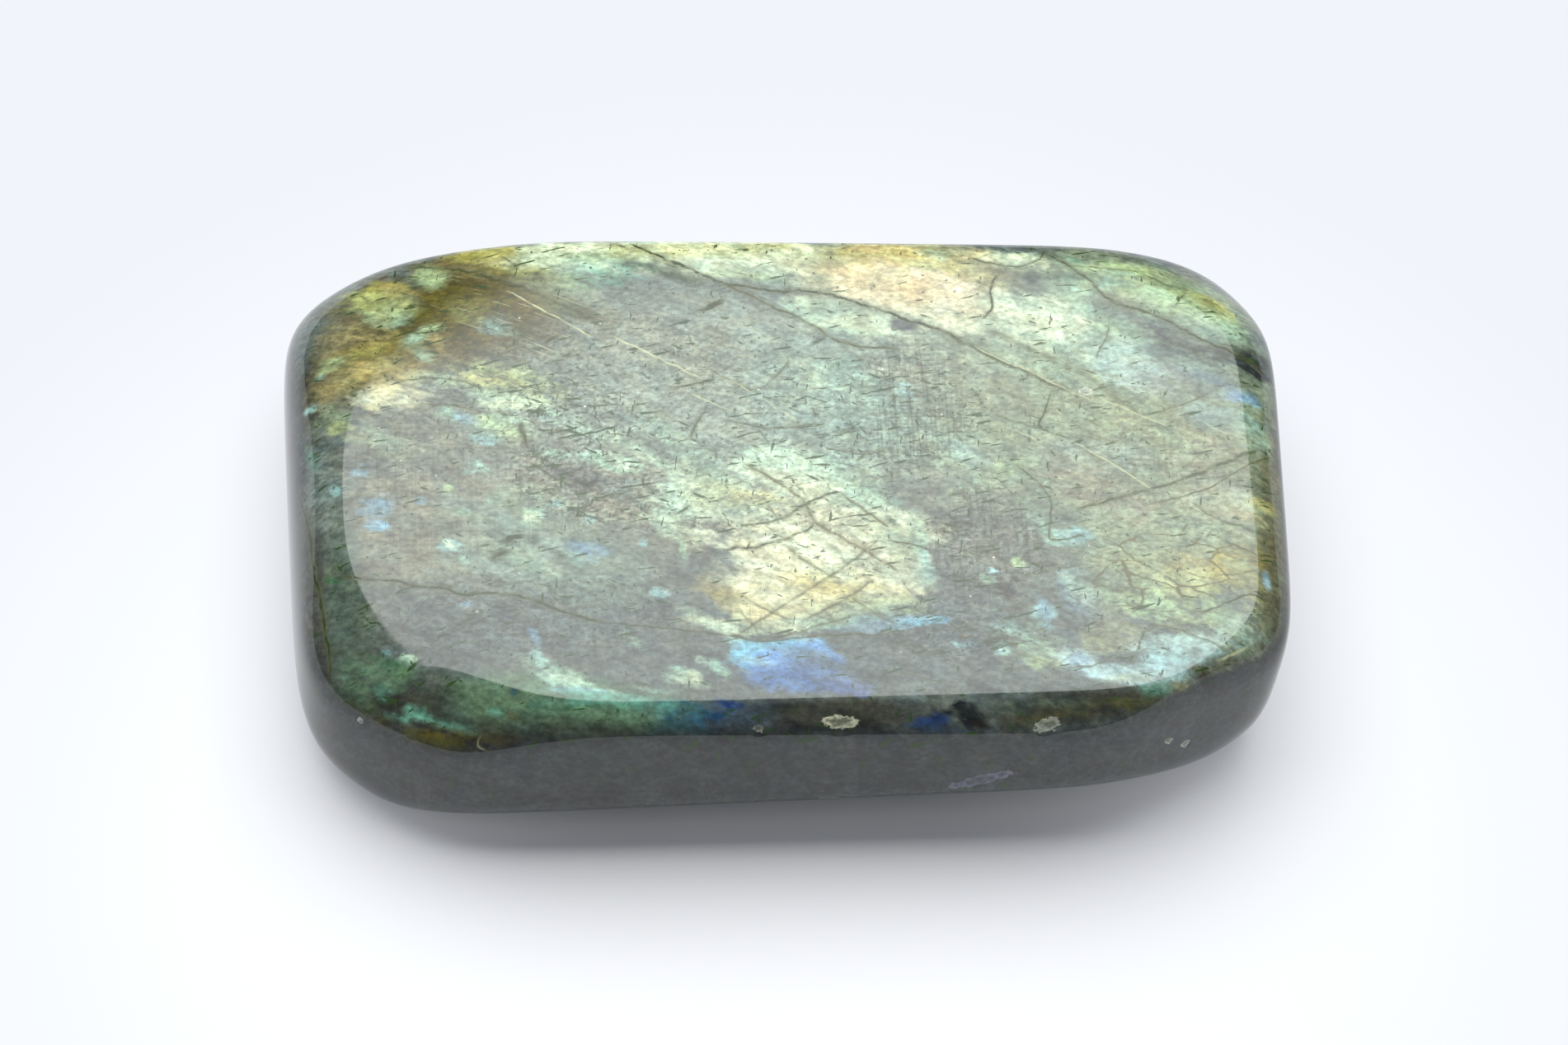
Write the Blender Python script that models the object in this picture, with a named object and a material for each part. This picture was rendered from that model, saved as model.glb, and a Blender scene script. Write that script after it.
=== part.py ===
"""Polished labradorite: one flat, rounded block of feldspar, ground to facets and tumbled smooth.

The shape is a cut list, as a lapidary would keep one. Each facet is a plane with a direction and a
distance from the heart of the stone, and polishing rounds the edges where the planes meet.
Lengths in the cut list are millimetres. The model is in metres, +Z up, and the stone stands on
z = 0 with its longer side along X and its front towards -Y.
"""

import math

import bmesh
import bpy
import numpy as np

MM = 0.001

# The heart of the stone, from which every facet's distance is measured, seen from the middle of
# the footprint.
HEART = (0.5, 1.8, 6.5)

# Facet: name, direction on the compass, tilt, distance. The compass has 0 at the front, 90 at the
# right, 180 at the back and 270 at the left. Tilt is 0 for a facet that faces straight up, 90 for
# an upright wall and 180 for the base.
CUTS = [
    ("top", 0, 0, 7.5),
    ("back slope", 180, 18, 12.5),
    ("back left slope", 225, 15, 13.2),
    ("left slope", 272, 22, 18.4),
    ("front left slope", 312, 23, 17.9),
    ("front shoulder", 2, 34, 17.8),
    ("front left shoulder", 335, 36, 21.1),
    ("front right shoulder", 45, 38, 26.0),
    ("left shoulder", 274, 54, 30.2),
    ("back left shoulder, back half", 221, 37, 23.6),
    ("back left shoulder, left half", 246, 56, 33.7),
    ("back right slope", 144, 22, 17.3),
    ("back right shoulder, back half", 171, 35, 19.8),
    ("back right shoulder, right half", 133, 50, 29.6),
    ("right shoulder", 92, 34, 24.2),
    ("front wall", 1, 82, 23.5),
    ("back wall", 179, 92, 20.0),
    ("left wall", 275, 87, 34.6),
    ("right wall", 90, 99, 33.6),
    ("front left corner, left half", 303, 85, 36.4),
    ("front left corner, front half", 332, 83, 31.4),
    ("front right corner, front half", 30, 88, 30.9),
    ("front right corner, right half", 60, 95, 37.6),
    ("back left corner, back half", 207, 88, 32.2),
    ("back left corner, left half", 240, 88, 40.2),
    ("back right corner, right half", 120, 92, 37.5),
    ("back right corner, back half", 152, 92, 33.2),
    ("front underside", 4, 136, 17.3),
    ("back underside", 180, 138, 17.0),
    ("left underside", 270, 138, 25.7),
    ("right underside", 90, 136, 27.0),
    ("front right underside", 38, 128, 27.9),
    ("front left underside", 320, 132, 28.6),
    ("base", 0, 180, 6.6),
]

# How sharply the polish leaves the edges between facets. At 36 they are about 1 mm round.
CRISPNESS = 36

# The saw cut that the stone rests on, below the heart. It takes the crown off the base facet.
SAW_CUT = 6.5

# The box that is pressed onto the cut list: half its length, depth and height, and its steps.
BLANK = (35.0, 21.8, 7.0)
STEPS = (46, 30, 12)

# Faces that meet at a steeper angle than this keep a hard edge in shading.
HARD_EDGE = math.radians(40)

# Mean colour of the polished top, as linear red, green and blue.
STONE_COLOUR = (0.30, 0.32, 0.24, 1.0)
STONE_ROUGHNESS = 0.12


def cut_planes():
    """One row for each facet: its outward direction divided by its distance.

    The product of a row and a point is 1 on that facet's plane, and less than 1 behind it.
    """
    compass = np.radians([cut[1] for cut in CUTS])
    tilt = np.radians([cut[2] for cut in CUTS])
    distance = np.array([cut[3] for cut in CUTS])
    sideways = np.sin(tilt) * np.sin(compass)
    backwards = -np.sin(tilt) * np.cos(compass)
    return np.stack([sideways, backwards, np.cos(tilt)], axis=1) / distance[:, None]


def press_onto_cuts(points):
    """Each point, moved along its line from the heart to the surface of the polished stone.

    On that surface the p-norm of a point's products with all facets is 1. With a high p the
    largest product counts almost alone, which is the flat of a facet, and near an edge two of
    them share, which is the round that polishing gives it.
    """
    products = np.maximum(points @ cut_planes().T, 0)
    largest = products.max(axis=1)
    shares = (products / largest[:, None]) ** CRISPNESS
    return points / (largest * shares.sum(axis=1) ** (1 / CRISPNESS))[:, None]


def stepped_box():
    """A closed box from -1 to 1 on each axis, with its edges divided into equal steps."""
    mesh = bmesh.new()
    bmesh.ops.create_cube(mesh, size=2)
    for axis, steps in enumerate(STEPS):
        along = [
            edge
            for edge in mesh.edges
            if abs(edge.verts[0].co[axis] - edge.verts[1].co[axis]) > 1
        ]
        bmesh.ops.subdivide_edges(mesh, edges=along, cuts=steps - 1, use_grid_fill=True)
    return mesh


def make_stone():
    """The stone's mesh: a stepped box, drawn tighter towards its edges and pressed onto the cuts."""
    box = stepped_box()
    corners = np.array([vertex.co for vertex in box.verts])
    blank = np.sin(corners * math.pi / 2) * BLANK
    stone = press_onto_cuts(blank)
    stone[:, 2] = np.maximum(stone[:, 2], -SAW_CUT)
    for vertex, place in zip(box.verts, (stone + HEART) * MM):
        vertex.co = place
    bmesh.ops.recalc_face_normals(box, faces=box.faces)
    mesh = bpy.data.meshes.new("labradorite_stone")
    box.to_mesh(mesh)
    box.free()
    mesh.shade_smooth()
    mesh.set_sharp_from_angle(angle=HARD_EDGE)
    return mesh


def polished_labradorite():
    """Polished feldspar, grey green with a clear gloss."""
    material = bpy.data.materials.new("polished labradorite")
    material.use_nodes = True
    surface = material.node_tree.nodes["Principled BSDF"]
    surface.inputs["Base Color"].default_value = STONE_COLOUR
    surface.inputs["Roughness"].default_value = STONE_ROUGHNESS
    surface.inputs["Metallic"].default_value = 0.0
    return material


def clear_scene():
    for thing in list(bpy.data.objects):
        bpy.data.objects.remove(thing, do_unlink=True)


def main():
    clear_scene()
    collection = bpy.data.collections.new("polished_labradorite")
    bpy.context.scene.collection.children.link(collection)
    stone = bpy.data.objects.new("labradorite_stone", make_stone())
    stone.data.materials.append(polished_labradorite())
    collection.objects.link(stone)


main()
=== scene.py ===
"""A polished labradorite lying on a white table under one large softbox.

Lengths are in millimetres wherever a name or a comment says so, and are turned to metres where
they enter Blender. The frame is the stone's own: +X along its length, +Y to its back, +Z up.
"""

import math

import bpy
import numpy as np
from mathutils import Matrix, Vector


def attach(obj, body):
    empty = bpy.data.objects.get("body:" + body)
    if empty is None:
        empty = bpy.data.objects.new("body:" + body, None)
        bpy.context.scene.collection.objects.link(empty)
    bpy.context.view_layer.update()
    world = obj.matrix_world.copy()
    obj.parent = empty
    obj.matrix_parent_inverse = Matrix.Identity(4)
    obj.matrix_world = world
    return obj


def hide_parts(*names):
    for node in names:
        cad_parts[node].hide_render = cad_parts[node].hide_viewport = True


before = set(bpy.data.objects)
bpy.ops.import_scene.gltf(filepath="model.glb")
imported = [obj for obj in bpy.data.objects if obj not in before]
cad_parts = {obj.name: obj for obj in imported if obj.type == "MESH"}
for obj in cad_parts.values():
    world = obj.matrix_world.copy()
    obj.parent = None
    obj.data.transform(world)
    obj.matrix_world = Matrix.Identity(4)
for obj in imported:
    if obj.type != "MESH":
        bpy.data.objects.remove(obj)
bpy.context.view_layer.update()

# The table: a sheet of white card. Near the stone's front it is lit by the softbox alone, and
# further out it fades into the pale tone of the room, so that it has no far edge.
MM = 0.001
TABLE_RADIUS = 3000
TABLE_SIDES = 96
FADE_CENTRE = (0, -25, 0)
FADE_START = 10
FADE_END = 80
CARD_WHITE = "EAEAEB"
ROOM_TONE = "F1F4FA"


def linear(hexes):
    """An sRGB hex value as linear red, green, blue and alpha.

    A channel c up to 0.04045 becomes c / 12.92, and one above it ((c + 0.055) / 1.055) ** 2.4.
    """
    channels = [int(hexes[i:i + 2], 16) / 255 for i in (0, 2, 4)]
    return [c / 12.92 if c <= 0.04045 else ((c + 0.055) / 1.055) ** 2.4 for c in channels] + [1.0]


def node(tree, kind, inputs=None, **settings):
    """Adds one node. Settings are its properties. Inputs go by name or by number, and each is a
    value, another node's output, or another node, whose first output in use it then takes."""
    made = tree.nodes.new(kind)
    for name, value in settings.items():
        setattr(made, name, value)
    for key, value in (inputs or {}).items():
        if isinstance(key, str):
            socket = next(entry for entry in made.inputs if entry.enabled and entry.name == key)
        else:
            socket = made.inputs[key]
        if isinstance(value, bpy.types.Node):
            value = next(entry for entry in value.outputs if entry.enabled)
        if isinstance(value, bpy.types.NodeSocket):
            tree.links.new(value, socket)
        else:
            socket.default_value = value
    return made


def empty_material(name):
    """A material without nodes, and its tree."""
    material = bpy.data.materials.new(name)
    material.use_nodes = True
    material.node_tree.nodes.clear()
    return material, material.node_tree


def white_card():
    """Matt white card, which turns by its distance from the centre into the room's plain tone."""
    material, tree = empty_material("matt white card")
    place = node(tree, "ShaderNodeTexCoord").outputs["Object"]
    far = node(tree, "ShaderNodeVectorMath", {
        0: place, 1: Vector(FADE_CENTRE) * MM,
    }, operation="DISTANCE")
    fade = node(tree, "ShaderNodeMapRange", {
        "Value": far, "From Min": FADE_START * MM, "From Max": FADE_END * MM,
    }, interpolation_type="SMOOTHSTEP")
    card = node(tree, "ShaderNodeBsdfPrincipled", {
        "Base Color": linear(CARD_WHITE), "Roughness": 0.9, "Specular IOR Level": 0.0,
    })
    room = node(tree, "ShaderNodeEmission", {"Color": linear(ROOM_TONE)})
    mixed = node(tree, "ShaderNodeMixShader", {0: fade, 1: card, 2: room})
    node(tree, "ShaderNodeOutputMaterial", {"Surface": mixed})
    return material


def mesh_object(name, points, faces, material):
    """A mesh at the origin, from points in millimetres and lists of point numbers."""
    mesh = bpy.data.meshes.new(name)
    mesh.from_pydata((np.asarray(points) * MM).tolist(), [], faces)
    mesh.materials.append(material)
    made = bpy.data.objects.new(name, mesh)
    bpy.context.scene.collection.objects.link(made)
    return made


around = np.linspace(0, 2 * math.pi, TABLE_SIDES, endpoint=False)
card_rim = np.stack([np.cos(around), np.sin(around), 0 * around], axis=1) * TABLE_RADIUS
table = mesh_object("table", card_rim, [list(range(len(card_rim)))], white_card())

# The light: one softbox hung level above the table and mostly behind the stone. It is brightest
# towards the front and fades to its far end, so that the stone's top mirrors it as a pale haze
# with a crisp front edge and no back one. The room is dim, with a weak fill from the front.
SOFTBOX_HEIGHT = 600
SOFTBOX_SIDES = (-430, 400)
SOFTBOX_FRONT = -90
SOFTBOX_FADE = (400, 1400)
SOFTBOX_LIGHT = (3.75, 3.80, 3.85, 1.0)
ROOM_GLOOM = (0.150, 0.165, 0.200, 1.0)
FILL_SIZE = 500
FILL_PLACE = (0, -460, 490)
FILL_WATTS = 0.8


def lit_fabric():
    """The softbox's cloth, lit from behind: even at first, then weaker in step with distance."""
    material, tree = empty_material("lit softbox cloth")
    place = node(tree, "ShaderNodeTexCoord").outputs["Object"]
    parts = node(tree, "ShaderNodeSeparateXYZ", {0: place})
    fade = node(tree, "ShaderNodeMapRange", {
        "Value": parts.outputs[1], "From Min": SOFTBOX_FADE[0] * MM, "From Max": SOFTBOX_FADE[1] * MM,
        "To Min": 1.0, "To Max": 0.0,
    })
    glow = node(tree, "ShaderNodeEmission", {"Color": SOFTBOX_LIGHT, "Strength": fade})
    node(tree, "ShaderNodeOutputMaterial", {"Surface": glow})
    return material


left, right = SOFTBOX_SIDES
front, back = SOFTBOX_FRONT, SOFTBOX_FADE[1]
cloth = [(x, y, SOFTBOX_HEIGHT) for x, y in ((left, front), (left, back), (right, back), (right, front))]
softbox = mesh_object("softbox", cloth, [[0, 1, 2, 3]], lit_fabric())
softbox.visible_camera = False

fill = bpy.data.lights.new("fill", "AREA")
fill.size = FILL_SIZE * MM
fill.energy = FILL_WATTS
held_up = bpy.data.objects.new("fill", fill)
held_up.location = Vector(FILL_PLACE) * MM
held_up.rotation_euler = Vector(FILL_PLACE).to_track_quat("Z", "Y").to_euler()
held_up.visible_camera = False
held_up.visible_glossy = False
bpy.context.scene.collection.objects.link(held_up)

room = bpy.data.worlds.new("dim studio")
bpy.context.scene.world = room
room.use_nodes = True
room.node_tree.nodes.clear()
looked_at = node(room.node_tree, "ShaderNodeLightPath").outputs["Is Camera Ray"]
room_colour = node(room.node_tree, "ShaderNodeMix", {
    0: looked_at, "A": ROOM_GLOOM, "B": linear(ROOM_TONE),
}, data_type="RGBA")
backdrop = node(room.node_tree, "ShaderNodeBackground", {"Color": room_colour})
node(room.node_tree, "ShaderNodeOutputWorld", {"Surface": backdrop})
bpy.context.scene.view_settings.view_transform = "Standard"

# The camera: a long lens that looks down on the stone at 52 degrees from the front.
CAMERA_TARGET = (0.5, 1.8, 6.0)
CAMERA_ELEVATION = 52
CAMERA_DISTANCE = 405
CAMERA_LENS = 132.9

camera_data = bpy.data.cameras.new("camera")
camera_data.lens = CAMERA_LENS
camera_data.clip_start = 0.01
camera = bpy.data.objects.new("camera", camera_data)
bpy.context.scene.collection.objects.link(camera)
bpy.context.scene.camera = camera
rise = math.radians(CAMERA_ELEVATION)
outwards = Vector((0, -math.cos(rise), math.sin(rise)))
camera.location = (Vector(CAMERA_TARGET) + outwards * CAMERA_DISTANCE) * MM
camera.rotation_euler = (-outwards).to_track_quat("-Z", "Y").to_euler()

# The stone: one block of labradorite, sawn, ground to facets and tumbled to a gloss. Each facet
# is a plane at a distance from the stone's heart, and polishing rounds the edges between them.
# Columns: name, direction on the compass (0 front, 90 right), tilt from straight up, distance.
HEART = (0.5, 1.8, 6.5)
CUTS = [
    ("top", 0, 0, 7.5),
    ("back slope", 180, 18, 12.5),
    ("back left slope", 225, 15, 13.2),
    ("left slope", 272, 22, 18.4),
    ("front left slope", 312, 23, 17.9),
    ("front shoulder", 2, 34, 17.8),
    ("front left shoulder", 335, 36, 21.1),
    ("front right shoulder", 45, 38, 26.0),
    ("left shoulder", 274, 54, 30.2),
    ("back left shoulder, back half", 221, 37, 23.6),
    ("back left shoulder, left half", 246, 56, 33.7),
    ("back right slope", 144, 22, 17.3),
    ("back right shoulder, back half", 171, 35, 19.8),
    ("back right shoulder, right half", 133, 50, 29.6),
    ("right shoulder", 92, 34, 24.2),
    ("front wall", 1, 82, 23.5),
    ("back wall", 179, 92, 20.0),
    ("left wall", 275, 87, 34.6),
    ("right wall", 90, 99, 33.6),
    ("front left corner, left half", 303, 85, 36.4),
    ("front left corner, front half", 332, 83, 31.4),
    ("front right corner, front half", 30, 88, 30.9),
    ("front right corner, right half", 60, 95, 37.6),
    ("back left corner, back half", 207, 88, 32.2),
    ("back left corner, left half", 240, 88, 40.2),
    ("back right corner, right half", 120, 92, 37.5),
    ("back right corner, back half", 152, 92, 33.2),
    ("front underside", 4, 136, 17.3),
    ("back underside", 180, 138, 17.0),
    ("left underside", 270, 138, 25.7),
    ("right underside", 90, 136, 27.0),
    ("front right underside", 38, 128, 27.9),
    ("front left underside", 320, 132, 28.6),
    ("base", 0, 180, 6.6),
]
CRISPNESS = 36
SAW_CUT = 6.5
BLANK = (35.0, 21.8, 7.0)
CAP_STEPS = (310, 196)
WALL_STEPS = 34
BASE_STEPS = 4
BASE_INSET = 0.8


def press_onto_cuts(points):
    """Points moved along their lines from the heart onto the polished surface, and its normals.

    A point's products with all facets, each plane divided by its distance, are its shares of
    reaching that facet. The surface is where their p-norm is 1. The normal there is the sum of
    the facets' planes, each weighted by its share to the power p - 1.
    """
    compass = np.radians([cut[1] for cut in CUTS])
    tilt = np.radians([cut[2] for cut in CUTS])
    distance = np.array([cut[3] for cut in CUTS])
    sideways = np.sin(tilt) * np.sin(compass)
    backwards = -np.sin(tilt) * np.cos(compass)
    planes = np.stack([sideways, backwards, np.cos(tilt)], axis=1) / distance[:, None]
    products = np.maximum(points @ planes.T, 0)
    largest = products.max(axis=1)
    shares = (products / largest[:, None]) ** CRISPNESS
    size = largest * shares.sum(axis=1) ** (1 / CRISPNESS)
    weights = (products / largest[:, None]) ** (CRISPNESS - 1)
    normals = weights @ planes
    return points / size[:, None], normals / np.linalg.norm(normals, axis=1)[:, None]


def stone_surface():
    """The stone's points in millimetres, their normals and its faces.

    The cap is the grid (35u, 21.8v, 7) for u and v from -1 to 1. From its rim one strip runs
    down the walls and in under the base, where the rim shrinks, and both are pressed onto the
    cuts. The saw cut flattens all that would lie below it, and one face closes the flat.
    """
    across, deep = CAP_STEPS
    u, v = np.meshgrid(np.linspace(-1, 1, across + 1), np.linspace(-1, 1, deep + 1), indexing="ij")
    cap = np.stack([u, v, np.ones_like(u)], axis=-1).reshape(-1, 3) * BLANK
    number = np.arange(len(cap)).reshape(u.shape)
    faces = np.stack([number[:-1, :-1], number[1:, :-1], number[1:, 1:], number[:-1, 1:]], axis=-1)
    rim = np.concatenate([number[:-1, 0], number[-1, :-1], number[:0:-1, -1], number[0, :0:-1]])
    down = np.repeat(cap[rim][None], WALL_STEPS + BASE_STEPS, axis=0)
    down[:, :, 2] = np.concatenate([
        np.linspace(BLANK[2], -BLANK[2], WALL_STEPS + 1)[1:], np.full(BASE_STEPS, -BLANK[2]),
    ])[:, None]
    down[WALL_STEPS:, :, :2] *= np.linspace(1, BASE_INSET, BASE_STEPS + 1)[1:, None, None]
    ring = np.vstack([rim, len(cap) + np.arange(down.shape[0] * len(rim)).reshape(-1, len(rim))])
    after = np.roll(ring, -1, axis=1)
    strip = np.stack([ring[:-1], ring[1:], after[1:], after[:-1]], axis=-1)
    points, normals = press_onto_cuts(np.vstack([cap, down.reshape(-1, 3)]))
    points[:, 2] = np.maximum(points[:, 2], -SAW_CUT)
    quads = np.vstack([faces.reshape(-1, 4), strip.reshape(-1, 4)]).tolist()
    return points + HEART, normals, quads + [ring[-1, ::-1].tolist()]


def drift(x, y, size, seed):
    """Smooth random values from -1 to 1: random numbers on a square lattice of that size in
    millimetres, joined by the step t * t * (3 - 2t) along both axes."""
    lattice = np.random.default_rng(seed).uniform(-1, 1, (256, 256))
    column, row = np.floor(x / size).astype(int), np.floor(y / size).astype(int)
    s, t = x / size - column, y / size - row
    s, t = s * s * (3 - 2 * s), t * t * (3 - 2 * t)
    near = lattice[column % 256, row % 256] * (1 - s) + lattice[(column + 1) % 256, row % 256] * s
    far = lattice[column % 256, (row + 1) % 256] * (1 - s)
    far = far + lattice[(column + 1) % 256, (row + 1) % 256] * s
    return near * (1 - t) + far * t


# Where the polish has broken away: shallow shells and nicks on the edges, duller than the rest.
# Columns: hue, middle, half its length, half its height, its turn in degrees, its depth.
CHIPS = [
    ("CBCEAC", 4.3, -20.3, 12.7, 1.25, 0.48, -6, 0.14),
    ("B2B7A2", 18.1, -20.3, 12.3, 1.0, 0.5, 24, 0.12),
    ("9A9F8C", -1.2, -20.7, 12.4, 0.4, 0.28, -30, 0.08),
    ("8E9290", 3.6, -21.5, 5.6, 0.8, 0.4, 0, 0.10),
    ("D2D2C0", 26.5, -18.8, 8.4, 0.35, 0.3, 0, 0.07),
    ("D2D2C0", 27.7, -18.1, 7.2, 0.45, 0.35, 30, 0.07),
    ("7E8090", 13.8, -21.5, 7.7, 2.3, 0.5, 18, 0.06),
    ("D8DCC8", 21.4, 7.1, 14.0, 0.6, 0.35, -5, 0.05),
    ("D8DCC8", -28.1, -17.9, 9.6, 0.22, 0.25, 0, 0.05),
]
CHIP_EDGE = 0.35
CHIP_RAG = 0.22
CHIP_RAG_SIZE = 0.5


def turned(x, y, turn):
    """How far the points (x, y) lie along and across a line at that turn in degrees: x cos + y sin
    and y cos - x sin."""
    lean = math.radians(turn)
    return x * math.cos(lean) + y * math.sin(lean), y * math.cos(lean) - x * math.sin(lean)


def break_chips(points, normals):
    """Points with the chips sunk into them along the normals, and each point's chip colour.

    A chip's radius r at a point is the length of (a / half length, b / half height), for a along
    the stone's length and b up and back across it, both turned by the chip's turn. Drift
    roughens r. Its floor is flat to r = 1 - CHIP_EDGE and then rises to the polish at r = 1. The
    colour's alpha is 1.5 - r, and at least 0 and at most 1.
    """
    points = points.copy()
    colour = np.zeros((len(points), 4))
    start = points.copy()
    for hue, x, y, z, half_length, half_height, turn, depth in CHIPS:
        away = start - (x, y, z)
        up = np.hypot(away[:, 1], away[:, 2]) * np.sign(away[:, 1] + away[:, 2])
        along, across = turned(away[:, 0], up, turn)
        radius = np.hypot(along / half_length, across / half_height)
        radius += CHIP_RAG * drift(start[:, 0] + start[:, 1], start[:, 2], CHIP_RAG_SIZE, seed=31)
        sunk = np.clip((1 - radius) / CHIP_EDGE, 0, 1) * depth
        points -= normals * sunk[:, None]
        share = np.clip(1.5 - radius, 0, 1)
        inside = share > colour[:, 3]
        colour[inside, :3] = linear(hue)[:3]
        colour[inside, 3] = share[inside]
    return points, colour


# The hues of the stone, as the diffuse colours that the light gives back from the lamellae under
# the polish, from the dull feldspar between them and from the grains of ore.
HUES = {
    "smoke": "2A332C", "taupe": "868974", "ash": "5C6862", "mist": "7C9E8E", "fog": "879788",
    "lichen": "86987C", "straw": "8A9A7C", "olive": "6F6C4E", "brown": "575020", "ochre": "86824A",
    "umber": "58521E", "peat": "33342A", "moss": "526253", "fern": "5C7A5E", "navy": "2B3D50",
    "black": "0E0F14", "drab": "5E5E42", "slate": "6D7D76", "dim": "474943", "honey": "8E8450",
    "gold": "C8BF80", "citron": "AAA956", "pear": "A6B67C", "lime": "A4BC8A", "mint": "96BCA2",
    "cyan": "8CB8B4", "milk": "B0CEB0", "pearl": "C4D8B8", "cream": "CFD6B2", "white": "D4E2BC",
    "butter": "C6C688", "sage": "85A086", "sky": "7EA4B4", "azure": "74B0C4", "cobalt": "1E4E74",
    "periwinkle": "6E9CD2", "violet": "4F74A4", "lilac": "566A90", "ice": "9ABAB6", "teal": "5C927E",
    "aqua": "6CA890", "petrol": "386068", "royal": "223A66", "leaf": "456A48", "pine": "33482C",
    "khaki": "8E9A78", "rust": "8A6E4C", "apricot": "DCC888", "shell": "E2DAB6", "grape": "444650",
    "wall": "3C4140",
}
for name, hexes in HUES.items():
    HUES[name] = np.array(linear(hexes)[:3])

# Patches of colour. The tones are the broad dull zones. Columns: hue, the middle, length and
# width of an oval in millimetres, its turn in degrees, how much it covers, how soft its edge is.
TONES = [
    ("pearl", -7.2, 20.0, 21.0, 3.8, 0, 0.9, 0.72),
    ("butter", 9.3, 17.7, 10.9, 7.3, -8, 0.9, 0.87),
    ("sage", 23.5, 10.9, 17.5, 9.0, -12, 0.85, 1.01),
    ("lime", 26.0, 16.8, 12.0, 4.9, -17, 0.6, 0.87),
    ("moss", 18.9, 18.6, 7.3, 2.2, -7, 0.6, 1.01),
    ("brown", -20.9, 18.4, 8.2, 5.5, -19, 0.7, 1.01),
    ("taupe", -21.2, -4.8, 15.2, 13.6, 5, 0.8, 1.45),
    ("fog", -2.4, 7.1, 28.6, 18.5, -1, 1.0, 1.16),
    ("taupe", -8.2, 11.2, 11.9, 6.7, -15, 0.35, 1.45),
    ("taupe", -10.6, -2.7, 12.2, 7.6, -28, 0.6, 1.3),
    ("ash", -18.2, -13.8, 20.9, 7.3, -8, 0.95, 1.16),
    ("ash", 9.5, -17.1, 12.7, 3.2, -3, 0.95, 1.16),
    ("mist", -16.4, -7.0, 10.5, 6.3, -16, 0.5, 1.3),
    ("lichen", 22.6, 3.1, 23.4, 14.5, -14, 0.95, 1.01),
    ("straw", 26.7, -5.8, 13.3, 9.2, 5, 0.8, 0.87),
    ("ash", 15.2, -8.1, 10.4, 10.1, -38, 0.7, 1.16),
    ("taupe", 13.6, -5.6, 10.9, 7.4, -41, 0.4, 1.3),
    ("khaki", 27.7, 2.9, 12.1, 4.3, -23, 0.6, 1.16),
    ("fog", 22.2, 1.2, 6.5, 3.6, -6, 0.6, 0.87),
    ("olive", -29.8, 13.3, 11.5, 5.1, 80, 0.9, 0.87),
    ("brown", -21.9, 14.4, 11.1, 9.6, 6, 0.95, 0.87),
    ("ochre", -27.8, 10.3, 7.0, 4.5, 7, 0.6, 1.16),
    ("taupe", -24.4, 4.6, 5.4, 4.4, -17, 0.5, 1.3),
    ("mist", 4.1, 6.7, 9.5, 9.1, -39, 0.35, 1.3),
    ("taupe", 12.5, 7.8, 12.5, 5.1, -25, 0.35, 1.3),
    ("peat", -23.4, -18.9, 14.5, 3.9, -20, 0.9, 0.87),
    ("moss", -29.3, -10.9, 10.4, 3.4, -80, 0.9, 1.01),
    ("fern", -13.6, -19.1, 15.0, 3.0, -7, 0.9, 0.87),
    ("navy", -2.6, -20.0, 7.1, 1.5, 1, 0.7, 1.01),
    ("peat", 4.8, -20.0, 9.9, 1.8, 0, 0.9, 0.87),
    ("black", -4.0, -21.1, 25.3, 1.0, 1, 0.8, 1.3),
    ("peat", 20.3, -19.3, 12.3, 1.9, 6, 0.9, 0.87),
    ("drab", 29.3, -16.2, 9.4, 3.4, 31, 0.8, 1.01),
    ("drab", 34.1, -4.1, 18.7, 2.6, 87, 0.85, 0.72),
    ("slate", -31.1, -1.3, 6.4, 2.5, -78, 0.8, 0.87),
    ("peat", -32.6, 8.9, 7.1, 1.9, 89, 0.9, 0.87),
    ("dim", -31.3, -9.5, 12.2, 1.6, -84, 0.9, 0.87),
    ("olive", 30.4, -16.0, 6.9, 2.1, 34, 0.6, 1.16),
]

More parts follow.
